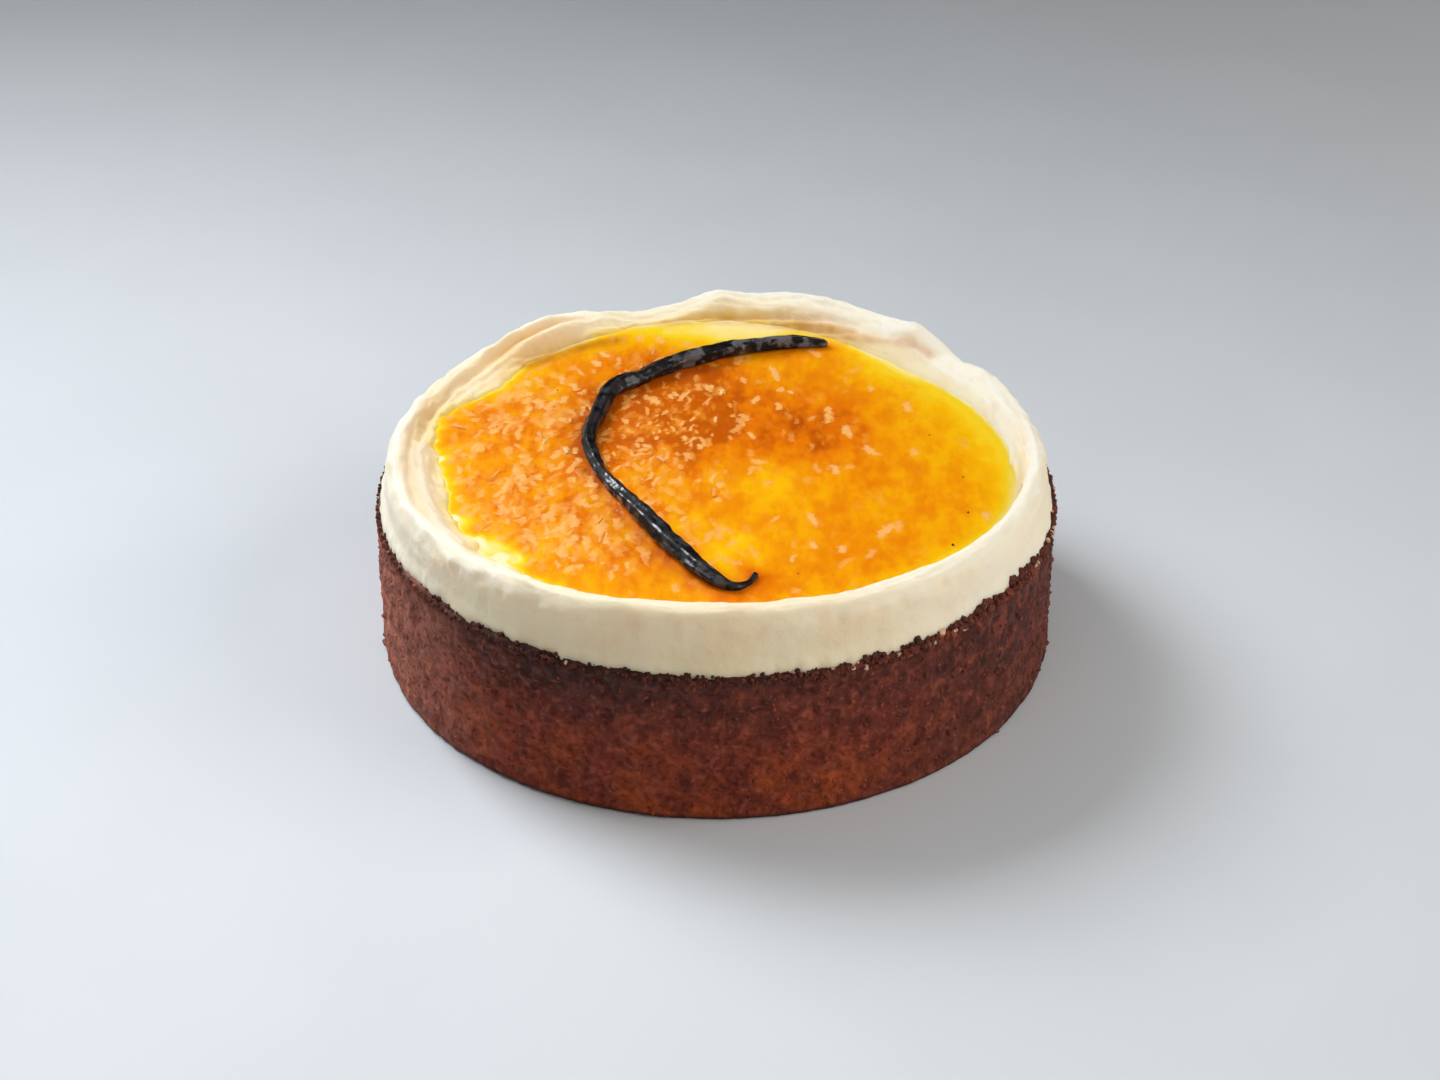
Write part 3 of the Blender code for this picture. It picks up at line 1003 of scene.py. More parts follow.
@dataclass
class Sponge:
    """The dark drum: flat above and below, its side rough with crumbs."""

    radius: float = 79.7
    taper: float = 0.4
    top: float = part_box("sponge")[1].z / MM
    foot_round: float = 0.6
    shoulder: float = 2.2
    lip: float = 0.6
    steps: int = 1000
    spacing: float = 0.52
    crumb_size: float = 2.3
    cream_spots: tuple[Triple, ...] = (
        (-66, 35.7, 0.6), (-60, 36.1, 0.7), (-51, 36.1, 0.7), (-46.5, 35.9, 0.8), (-43, 36.3, 0.9),
        (-31, 36.1, 0.7), (-20, 35.8, 0.8), (-12, 36.2, 0.7))

    def profile(self) -> Numbers:
        """The half section, with points closer together where it is seen.

        Returns:
            The line over the top, the raised worn shoulder, the side, the foot and the underside.
        """
        edge = self.top + self.lip
        centre = (self.radius - self.taper - self.shoulder, edge - self.shoulder)
        side = [(76.6, edge), *arc(centre, self.shoulder, self.shoulder, 90, 0, 6),
                (self.radius, self.foot_round), (self.radius - self.foot_round, 0)]
        inner = [(30, self.top), (60, self.top), (72, self.top)]
        return np.vstack([inner, spread_along(side, self.spacing), [(76, 0), (60, 0), (30, 0)]])

    def relief(self, points: Numbers) -> tuple[Numbers, Numbers, Numbers]:
        """Height of the crumbs at each point of the side.

        Args:
            points: Places on the smooth drum.

        Returns:
            Rolling hills plus rounded crumbs minus pits, flatter at the right; the depth of the
            pits as a share, which the material darkens as painted shade; and each crumb's random
            number, 0 to 1.
        """
        drawn = points * (1, 0.7, 0.8)
        away, mark = crumbs(drawn, self.crumb_size, seed=3)
        rolling = rough_hills(points, 5.5, 3, 0.6, seed=11)
        fine = rough_hills(drawn, 1.5, 2, 0.65, seed=23)
        pit = smooth_step(0.34, 0.7, rough_hills(drawn, 1.7, 2, 0.5, seed=31))
        rounded = (0.45 - away) * (0.5 + mark)
        quiet = 1 - 0.45 * smooth_step(0, 60, points[..., 0])
        return 0.8 * rolling + quiet * (0.7 * rounded + 0.4 * fine - 0.55 * pit), pit, mark

    def edge_height(self, radius: Numbers) -> Numbers:
        """Height at which the smooth worn shoulder lies at these distances from the axis."""
        reach = np.clip((radius - self.radius + self.taper) / self.shoulder + 1, 0, 1)
        return self.top + self.lip - self.shoulder * (1 - np.sqrt(1 - reach**2))

    def smears(self, angle: Numbers, height: Numbers, points: Numbers) -> Numbers:
        """Where cream is caught in pits just under the top edge.

        Args:
            angle: Directions in radians.
            height: Heights.
            points: The places themselves.

        Returns:
            0 to 1: bell curves round the noted spots, broken by seeded hills.
        """
        total = 0.5 * rough_hills(points, 1.1, 2, 0.6, seed=47)
        for direction, level, size in self.cream_spots:
            along = np.radians(turn_between(angle, direction)) * self.radius
            total = total + bell(np.hypot(along, height - level), size)
        return smooth_step(0.35, 0.6, total)

    def build(self) -> Piece:
        """Makes the drum and its crumbs.

        Returns:
            The piece that replaces node sponge.
        """
        radius, angle, height = spun(self.profile(), self.steps)
        smooth = round_the_cake(radius, angle, height)
        push, pit, mark = self.relief(smooth)
        side = smooth_step(77.4, 79, radius)
        worn = smooth_step(33.5, 35.5, height) * side
        radius = radius + push * side * (0.3 + 0.7 * smooth_step(0, 3, height))
        radius = radius + 0.9 * rough_hills(smooth, 2.2, 3, 0.65, seed=37) * worn
        wander = rough_hills(smooth, 5, 4, 0.7, seed=43)
        # The dark top edge, partly crust and partly painted shade under the cream's foot, is strongest at
        # the front, the side turned from the key light. The upper front is darkened the same way, partly
        # burnt crust and partly painted shade.
        edge = smooth_step(-1.4, 0.8, height - self.top + 2.0 + 2.6 * wander)
        edge = edge * (0.35 + 0.6 * facing(angle, -112, 32))
        scorch_and_shade = 0.85 * facing(angle, -115, 24) * smooth_step(24, 33, height) * np.clip(0.85 + wander, 0, 1)
        piece = turned_piece("sponge_crumb", round_the_cake(radius, angle, height), pit=pit * side,
                             tone=0.5 + 0.3 * (mark - 0.5), edge=np.maximum(edge, scorch_and_shade),
                             smear=self.smears(angle, height, smooth) * side)
        return dress(piece, SpongeCrust().material(), "sponge", "sponge")


@dataclass
class EdgeCrumbs:
    """Loose crumbs along the sponge's top edge, some of them pressed into the cream's foot."""

    count: int = 2200
    crowded: int = 420
    rings: int = 4
    sides: int = 7
    seed: int = 41

    def build(self, sponge: Sponge, cream: "CreamLayer") -> Piece:
        """Makes all crumbs as one mesh of small lumpy balls.

        Args:
            sponge: The sponge that they lie on.
            cream: The cream that they touch.

        Returns:
            The piece. Most are about 0.3 mm in radius and a few twice that. They lie in clumps
            where the cream's foot meets the sponge's shoulder and up to 1.8 mm lower. At the
            front right they are larger, browner and stand higher. The top ones, against the cream's
            foot, are the darkest: partly dark crust, partly painted shade. One in twelve at the front
            right has cream on it. Their faces stay flat, so they look broken rather than rolled.
        """
        draw = np.random.default_rng(self.seed)
        angle = draw.uniform(-math.pi, math.pi, self.count)
        angle[: self.crowded] = np.radians(draw.normal(-42, 26, self.crowded))
        right, left = facing(angle, -38, 42), facing(angle, -158, 16)
        ring = round_the_cake(79, angle, 0 * angle)
        clump = smooth_step(-0.25, 0.35, rough_hills(ring, 4.5, 2, 0.6, seed=45))
        size = (0.22 + 0.4 * draw.random(self.count) ** 1.8) * (0.8 + 0.4 * clump)
        size = size + 0.8 * right * draw.random(self.count) ** 2.5
        foot = cream.foot_radius_at(angle)
        up = draw.uniform(-1.8, 0.1, self.count) + (0.12 + 1.15 * right) * clump
        radius = np.where(up > -0.3, foot, 79.3) + draw.uniform(-0.1, 0.2, self.count)
        tone = (0.7 * right + 0.8 * left) * draw.random(self.count) + draw.uniform(0, 0.25, self.count)
        # Partly dark crust, partly painted shade: darkest against the cream's foot.
        tone = tone * (1 - 0.7 * smooth_step(-0.6, 0.2, up))
        caught = (draw.random(self.count) < 0.02 + 0.06 * right) & (up > -1.3) & (up < 0.3)
        tone[caught] = 2.2
        middle = round_the_cake(radius, angle, sponge.edge_height(foot) + up)
        piece = lumps("edge_crumbs", middle, size, self.rings, self.sides, draw, 0.9, tone)
        piece.data.shade_flat()
        return dress(piece, BurntCrumb().material(), "sponge")


@dataclass
class SideCrumbs:
    """Crumbs that stand out of the sponge's side, half sunk in it."""

    count: int = 3600
    rings: int = 3
    sides: int = 6
    seed: int = 47

    def build(self, sponge: Sponge) -> Piece:
        """Makes all crumbs as one mesh of small lumpy balls.

        Args:
            sponge: The sponge that they stand on.

        Returns:
            The piece. Radii run from 0.35 to 0.95 mm, small ones being the most common, and under
            half of each crumb stands out of the side's relief.
        """
        draw = np.random.default_rng(self.seed)
        angle = draw.uniform(-math.pi, math.pi, self.count)
        height = draw.uniform(0.8, 36.6, self.count)
        size = 0.35 + 0.6 * draw.random(self.count) ** 2
        push, _, _ = sponge.relief(round_the_cake(sponge.radius, angle, height))
        shoulder = smooth_step(sponge.top - 2, sponge.top, height)
        radius = sponge.radius - sponge.taper * height / sponge.top + push - 0.5 * size - 0.5 * shoulder
        middle = round_the_cake(radius, angle, np.maximum(height, 0.7 * size))
        tone = draw.uniform(0.3, 0.95, self.count)
        piece = lumps("side_crumbs", middle, size, self.rings, self.sides, draw, 0.9, tone)
        return dress(piece, SpongeCrust().material(), "sponge")


# ---- Cream ----------------------------------------------------------------------------------


@dataclass(frozen=True)
class Stroke:
    """One pass of the spatula: a ridge or a trough that runs part of the way round."""

    start: float
    end: float
    start_radius: float
    end_radius: float
    width: float
    rise: float
    fade: float

    def at(self, radius: Numbers, angle: Numbers) -> Numbers:
        """Its height: a bell curve across the stroke, faded over its two ends.

        Args:
            radius: Distances from the axis.
            angle: Directions in radians.

        Returns:
            The height to add.
        """
        length = self.end - self.start
        along = (np.degrees(angle) - self.start) % 360
        centre = self.start_radius + (self.end_radius - self.start_radius) * along / length
        window = smooth_step(0, self.fade, along) * (1 - smooth_step(length - self.fade, length, along))
        return self.rise * bell(radius - centre, self.width) * np.where(along <= length, window, 0)


@dataclass(frozen=True)
class Dent:
    """A round dent or dab left where the spatula was lifted."""

    direction: float
    radius: float
    width: float
    rise: float

    def at(self, radius: Numbers, angle: Numbers) -> Numbers:
        """Its height: a bell curve of the distance from its middle, seen from above."""
        x, y, _ = round_the_cake(self.radius, math.radians(self.direction), 0)
        return self.rise * spot(round_the_cake(radius, angle, radius), x, y, self.width, self.width)


@dataclass
class CreamLayer:
    """The cream: a shallow tray with an uneven crest, an upright wall and a ragged foot."""

    wall_radius: float = 77
    foot_radius: float = 78
    base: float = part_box("cream")[0].z / MM
    floor: float = 44.4
    floor_radius: float = 63.4
    bank_radius: float = 68.8
    bank_rise: float = 0.8
    crest_radius: float = 73
    crest: float = 49.7
    crest_half_width: float = 3.0
    crest_round: float = 2.2
    back_lean: float = 1.6
    front_lift: float = 0.75
    steps: int = 960
    spacing: float = 0.38
    rim: Bumps = Bumps(((-88, 30, 2.2), (-35, 22, 0.4), (16, 5, -0.9), (36, 4.5, -1.9), (48, 4, 2.3),
                        (70, 9, 2.0), (90.5, 3, 1.8), (104, 8, -3.0), (126, 8, 1.1), (153, 12, -1.6)))
    swell: Bumps = Bumps(((-94, 16, 0.2), (-60, 28, 0.5), (-8, 18, 0.6), (-158, 8, 0.5), (176, 16, 0.7)))
    strokes: tuple[Stroke, ...] = (
        Stroke(146, 218, 70.4, 72.4, 1.7, -1.2, 16),
        Stroke(156, 214, 67.0, 69.8, 1.3, 0.6, 12),
        Stroke(138, 224, 74.9, 75.3, 1.1, 0.7, 18),
        Stroke(118, 166, 74.6, 70.6, 1.0, 0.65, 12),
        Stroke(112, 158, 72.6, 68.4, 1.0, -0.9, 12),
        Stroke(106, 150, 70.8, 66.6, 0.9, 0.55, 12),
        Stroke(50, 118, 68.6, 68.0, 0.7, -0.6, 14),
        Stroke(46, 116, 70.4, 69.6, 0.9, 0.3, 14),
        Stroke(66, 106, 72.6, 73.4, 1.1, -0.7, 12),
        Stroke(24, 58, 70.2, 68.2, 1.0, -0.7, 10),
        Stroke(20, 52, 73.4, 72.0, 0.9, 0.7, 10),
        Stroke(112, 138, 65.2, 65.6, 0.9, -1.0, 8),
        Stroke(-58, 22, 71.2, 72.8, 1.2, -0.9, 18),
        Stroke(-40, 18, 74.4, 74.2, 0.9, 0.4, 14),
        Stroke(-98, -52, 71.6, 71.2, 0.9, -0.5, 14),
        Stroke(-136, -94, 74.8, 74.2, 0.8, 0.5, 12),
        Stroke(-150, -104, 71.0, 72.0, 1.0, -0.8, 14),
    )
    dents: tuple[Dent, ...] = (
        Dent(40, 71.5, 2.4, -0.9), Dent(47, 72.5, 1.8, 0.5), Dent(27, 72, 2.2, 0.5), Dent(88, 72, 2.6, 0.5),
        Dent(-124, 74.5, 2.4, 0.5), Dent(-137, 73.5, 2.8, -0.5), Dent(-143, 65.0, 1.7, 1.5),
        Dent(-137, 64.6, 1.3, 1.3))

    def profile(self) -> Numbers:
        """The half section, with points closer together where it is seen.

        Returns:
            The line over the bed, the bank, the inner slope, the chamfered crest, the wall, the
            foot and the underside. The bed rises to the shore as a parabola.
        """
        share = np.linspace(0, 1, 8)
        bed = zip(self.floor_radius + (SHORE.radius - self.floor_radius) * share,
                  self.floor + (SHORE.level - self.floor) * share**2)
        line = [(60, self.floor), *bed, (self.bank_radius, SHORE.level + self.bank_rise)]
        middle = (self.crest_radius, self.crest - self.crest_round)
        line += arc(middle, self.crest_half_width, self.crest_round, 168, 90, 8)
        line += [
            (self.crest_radius + 1.5, self.crest - 0.6),
            (self.crest_radius + 3.0, self.crest - 1.7),
            (self.wall_radius - 0.35, self.crest - 2.6),
            (self.wall_radius, self.crest - 3.8),
            (self.wall_radius + 0.3, self.base + 3.6),
            (self.foot_radius, self.base + 0.7),
            (self.foot_radius, self.base - 1.7),
            (self.foot_radius - 0.8, self.base - 2.0),
        ]
        seen = softened(spread_along(line, self.spacing), 3)
        under = [(70, self.base), (45, self.base), (20, self.base)]
        return np.vstack([[(20, self.floor), (45, self.floor)], seen, under])

    def shaped(self) -> tuple[Numbers, Numbers, Numbers]:
        """The layer as the spatula left it.

        Returns:
            Distance from the axis, direction and height of each point, as (ring, step) grids.
            The crest follows the rim's lumps, leans outwards at the back and is flatter at the
            front, the bank follows the shore, and the strokes, dents and seeded smears are added
            on the top and, more faintly, on the wall.
        """
        radius, angle, height = spun(self.profile(), self.steps)
        above = (height > self.base + 1) | (radius > self.foot_radius - 0.3)
        of_wall = smooth_step(self.base + 3, self.crest - 1, height)
        of_slope = smooth_step(SHORE.radius, self.crest_radius - 1, radius)
        lift = self.rim.at(angle[0]) * np.minimum(of_wall, of_slope)
        on_crest = smooth_step(69, 72, radius) * (1 - smooth_step(74.5, 77, radius))
        radius = radius + self.back_lean * facing(angle, 82, 34) * on_crest * above
        outside = smooth_step(SHORE.radius + 1, self.crest_radius, radius)
        share = np.minimum(radius / SHORE.radius, 1) * (1 - outside)
        radius = radius + SHORE.push(angle[0]) * share * above
        front = facing(angle, -90, 52) * smooth_step(0, 2.5, radius - self.crest_radius)
        chamfer = smooth_step(self.crest - 3.4, self.crest - 1.5, height)
        height = height + (lift + self.front_lift * front * chamfer) * above
        top = smooth_step(44.6, 46.4, height) * above * (1 - smooth_step(75.6, self.wall_radius, radius))
        for mark in (*self.strokes, *self.dents):
            height = height + mark.at(radius, angle) * top
        return self.smeared(radius, angle, height, above)

    def smeared(self, radius: Numbers, angle: Numbers, height: Numbers,
                above: NDArray[np.bool_]) -> tuple[Numbers, Numbers, Numbers]:
        """Adds fine unevenness.

        Args:
            radius: Distances from the axis.
            angle: Directions in radians.
            height: Heights.
            above: Which points lie over the underside.

        Returns:
            The three grids with: hills 8 mm wide; smears and creases drawn out round the cake;
            upright streaks on the wall; and an uneven foot that swells out where it is noted,
            so that it covers more or less of the sponge's shoulder.
        """
        places = round_the_cake(radius, angle, height)
        drawn = round_the_cake(12, angle, radius)
        broad = rough_hills(places, 8, 3, 0.55, seed=51)
        smear = rough_hills(drawn, 1.9, 3, 0.6, seed=57)
        crease = 0.3 - np.abs(rough_hills(drawn + 5, 2.6, 2, 0.5, seed=59))
        upright = rough_hills(places * (1, 1, 0.08), 2.4, 2, 0.5, seed=63)
        wall = smooth_step(75.4, 76.8, radius) * above
        top = smooth_step(62, 66, radius) * above * (1 - wall)
        uneven = 0.55 + 0.45 * smooth_step(-0.75, 0.1, np.sin(angle))
        height = height + top * uneven * (0.9 * broad + 0.7 * smear + 0.9 * crease)
        left = 0.15 + 0.85 * facing(angle, -125, 30)
        wobble = rough_hills(places * (1, 1, 0.4), 6, 2, 0.4, seed=67) * bell(height - 48.2, 1.6)
        radius = radius + above * smooth_step(74, 76, radius) * 1.3 * wobble
        radius = radius + wall * (0.5 * broad + 0.14 * upright * left + 0.08 * smear)
        foot = (1 - smooth_step(self.base + 0.4, self.base + 4, height)) * wall
        ragged = rough_hills(places * (1, 1, 0), 3.4, 3, 0.6, seed=71)
        return radius + (self.swell.at(angle) + 0.5 * ragged) * foot, angle, height

    def foot_radius_at(self, angle: Numbers) -> Numbers:
        """How far out the foot lies.

        Args:
            angle: Directions in radians, within half a turn.

        Returns:
            Its distance from the axis in each, read along the ring nearest to the foot.
        """
        away = np.hypot(*(self.profile() - (self.foot_radius, self.base - 1)).T)
        radius, turn, _ = (grid[np.argmin(away)] for grid in self.shaped())
        return np.interp(angle, turn, radius)

    def hollows(self, radius: Numbers, angle: Numbers) -> Numbers:
        """How much painted shade the cream takes in the spatula's troughs.

        Args:
            radius: Distances from the axis.
            angle: Directions in radians.

        Returns:
            0 to 1: painted shade by the troughs' depths and a corner of painted shade at the back left,
            weaker at the front, along the back and at the back right.
        """
        depth = sum(np.abs(mark.at(radius, angle)) for mark in self.strokes if mark.rise < 0) / 1.5
        warm = 0.25 + 0.75 * smooth_step(-0.2, 0.5, np.sin(angle)) + 0.6 * facing(angle, 180, 34)
        outside = 1 - smooth_step(72, 75, radius)
        # Painted shade in the troughs and in the fold at the back left.
        hollow = depth * warm + 1.1 * facing(angle, 137, 17) * outside
        hollow = hollow * (1 - 0.85 * facing(angle, 70, 48) * smooth_step(64, 68.5, radius))
        hollow = hollow * (1 - 0.8 * facing(angle, 30, 25)) * (1 - 0.35 * facing(angle, 150, 22))
        return np.clip(0.9 * hollow, 0, 1) * outside

    def build(self) -> Piece:
        """Makes the layer and notes painted light on its crest, streaks, painted shade in the troughs
        and on the left inner slope, stains, and syrup with painted shadow.

        Returns:
            The piece that replaces node cream.
        """
        radius, angle, height = self.shaped()
        rings = round_the_cake(radius, angle, height)
        back, left, right = facing(angle, 82, 40), facing(angle, 178, 30), facing(angle, 22, 34)
        width = 0.9 + 1.7 * back + 0.7 * left + 0.8 * right + 1.2 * facing(angle, -140, 12)
        patchy = 0.75 + 0.5 * rough_hills(rings, 4, 2, 0.5, seed=83) + 0.4 * back
        stain = np.exp(-np.maximum(radius - SHORE.at(angle[0]), 0) / width) * (1 - 0.8 * right) * patchy
        stain = stain * (1 - smooth_step(72, 75, radius))
        # Painted light: whiter on the crest, on the back inner face and on the walls at the left and front
        # right, and less at the front.
        crest = smooth_step(47.2, 49.2, height) * smooth_step(66, 69, radius)
        far = facing(angle, 46, 80) * smooth_step(66.5, 69, radius)
        sides = 0.6 * facing(angle, -165, 30) + 0.7 * facing(angle, -35, 32)
        crest = np.maximum(crest, np.where(radius < 76, far, sides)) * (1 - 0.85 * facing(angle, -94, 40))
        drawn = rough_hills(round_the_cake(16, angle, radius), 1.5, 3, 0.65, seed=89)
        lines = smooth_step(0.05, 0.6, drawn)
        on_top = smooth_step(66, 68, radius) * (1 - smooth_step(75, 76.5, radius))
        piece = turned_piece("cream_layer", rings, stain=np.clip(stain, 0, 1), crest=crest,
                             shade=0.75 * facing(angle, 182, 30) * bell(radius - 70.6, 2.9),
                             hollow=self.hollows(radius, angle), streak=0.42 * lines * on_top,
                             syrup=syrup(rings[..., :2]) * (radius < 71))
        return dress(piece, Cream().material(), "cream", "cream")


# ---- Jam ------------------------------------------------------------------------------------


class Zone(Enum):
    """Parts of the pool that look deeper or thinner: x and y, size and depth to add."""

    INSIDE_THE_BEND = (-12, 18, 18, 0.76)
    MIDDLE_RIGHT = (24, 11, 15, 0.34)
    # Partly deeper gel, partly painted shadow of the pod.
    DEEPER_AND_SHADED_UNDER_THE_POD = (-10, 34, 11, 0.55)
    LEFT_CORNER = (-56, 14, 9, 0.14)
    LEFT_FIELD = (-42, -8, 20, 0.09)
    BACK_LEFT_GOLD = (-46, 34, 10, -0.12)
    CENTRE_FRONT_GOLD = (2, -42, 12, -0.24)
    CENTRE_GOLD = (12, -14, 9, -0.2)
    BACK_RIGHT_GOLD = (44, 42, 10, -0.14)
    FRONT_LEFT_RICH = (-16, -46, 8, 0.15)
    BACK_FILM = (3, 62, 14, -0.45)
    BACK_FILM_RIGHT = (14, 64, 9, -0.25)
    BACK_FILM_LEFT = (-13, 61, 8, -0.22)
    FRONT_LEFT_FILM = (-50, -41, 5, -0.55)
    FRONT_LEFT_STREAK = (-44, -46, 3.5, -0.45)
    LEFT_FRONT_STREAK = (-57, -30, 3.5, -0.4)


@dataclass
class JamPool:
    """The gel: a low dome up to the shore, lumpy over its fruit and drawn up along the pod."""

    cells: int = 308
    under_the_cream: float = 1.3
    shore_drop: float = 0.45
    bottom: float = 44.85
    meniscus: float = 0.45
    meniscus_width: float = 3.4

    def grid(self) -> tuple[Numbers, Numbers]:
        """A square grid pressed into a disc, squares about the middle becoming rings.

        Returns:
            Share of the radius and direction of each point, as (row, column) grids. On the side
            where |a| > |b| the direction is b/a times an eighth of a turn, and so on round.
        """
        line = np.linspace(-1, 1, self.cells + 1)
        across, along = np.meshgrid(line, line, indexing="ij")
        wide = np.abs(across) > np.abs(along)
        reach = np.where(wide, across, along)
        safe = np.where(reach == 0, 1, reach)
        angle = np.where(wide, along / safe, 2 - across / safe) * math.pi / 4
        return np.abs(reach), angle + np.where(reach < 0, math.pi, 0)

    def depth(self, places: Numbers, from_shore: Numbers, angle: Numbers) -> Numbers:
        """How deep the gel looks.

        Args:
            places: The points.
            from_shore: How far each lies inside the shore.
            angle: Directions in radians.

        Returns:
            0 at a thin film to 1 at the deepest: an even middle value, plus the zones' bell
            curves, fading out towards the shore over a width that is largest at the back, with
            thin fingers at the front left.
        """
        flat = places * (1, 1, 0)
        depth = 0.5
        for zone in Zone:
            x, y, size, amount = zone.value
            depth = depth + amount * spot(places, x, y, size, size)
        depth = np.maximum(depth + 0.12 * rough_hills(flat, 9, 3, 0.55, seed=91), 0.05)
        right = facing(angle, 14, 40)
        width = 1.3 + 3.5 * facing(angle, 82, 34) + 9.0 * right + 0.9 * facing(angle, 178, 26)
        inside = np.maximum(from_shore, 0)
        least = 0.3 * right * (1 - np.exp(-inside / 0.7))
        fingers = smooth_step(0.05, 0.4, rough_hills(flat, 5, 2, 0.5, seed=97)) * facing(angle, -155, 35)
        depth = depth * np.maximum(1 - np.exp(-inside / width), least)
        return np.clip(depth - 0.4 * fingers * bell(inside, 3.5), 0, 1)

    def surface(self, shreds: "FruitShreds") -> tuple[Numbers, dict[str, Numbers]]:
        """The top of the gel.

        Args:
            shreds: The fruit that lifts it.

        Returns:
            The points as a (row, column, 3) grid, and the numbers to note at each: how deep the
            gel looks, deeper along and under the pod as partly painted shadow, how much sunk fruit
            there is, the shreds at the top, their tone and the syrup with painted shadow. The height
            is the dome, a fall at the shore, hills where there is fruit, a bump over each shred and the
            meniscus along the pod.
        """
        share, angle = self.grid()
        shore = SHORE.at(angle)
        radius = share * (shore + self.under_the_cream)
        places = round_the_cake(radius, angle, 0 * radius)
        seen = places[..., :2]
        from_shore = shore - radius
        calm = smooth_step(0, 4, from_shore)
        plenty = np.clip(shreds.density(seen), 0, 1) * smooth_step(1.5, 5, from_shore)
        rolling = rough_hills(places, 7, 2, 0.5, seed=101)
        lumpy = rough_hills(places, 2.2, 3, 0.6, seed=107)
        fruit, tone = shreds.shown(seen)
        to_pod = away_from_line(seen, smooth_line(POD_LINE, 24))
        height = jam_height(radius) - self.shore_drop * np.exp(-np.maximum(from_shore + 1, 0) / 1.1)
        height = height + calm * (0.22 * rolling + (0.08 + 0.3 * plenty) * lumpy + 0.08 * fruit)
        places[..., 2] = height + self.meniscus * bell(to_pod, self.meniscus_width)
        # Deeper colour along the pod: partly the meniscus, partly painted shadow of the pod.
        depth = self.depth(places, from_shore, angle) + 0.3 * bell(to_pod, 4.5)
        plenty = plenty * (1 - bell(to_pod, 3.5))
        return places, {"depth": np.clip(depth, 0, 1), "plenty": plenty, "fruit": fruit * calm,
                        "tone": tone, "syrup": syrup(seen)}

    def build(self, shreds: "FruitShreds") -> Piece:
        """Makes the pool: the top, a skirt hidden in the cream and a flat underside.

        Args:
            shreds: The fruit in it.

        Returns:
            The piece that replaces node jam.
        """
        places, notes = self.surface(shreds)
        number = np.arange((self.cells + 1) ** 2).reshape(self.cells + 1, -1)
        corners = (number[:-1, :-1], number[1:, :-1], number[1:, 1:], number[:-1, 1:])
        top = np.stack(corners, axis=-1).reshape(-1, 4)
        edge = np.concatenate([number[:-1, 0], number[-1, :-1], number[:0:-1, -1], number[0, :0:-1]])
        ring = places.reshape(-1, 3)[edge] * (0.94, 0.94, 0) + (0, 0, self.bottom)
        points = np.vstack([places.reshape(-1, 3), ring, [(0, 0, self.bottom)]])
        low = number.size + np.arange(len(edge))
        after = np.roll(low, -1)
        skirt = np.stack([np.roll(edge, -1), edge, low, after], axis=-1)
        under = np.stack([0 * low + len(points) - 1, after, low], axis=-1)
        piece = new_piece("jam_gel", points, top.tolist() + skirt.tolist() + under.tolist())
        hidden = np.zeros(len(edge) + 1)
        note(piece, **{name: np.append(values, hidden) for name, values in notes.items()})
        return dress(piece, JamGel().material(), "jam", "jam")


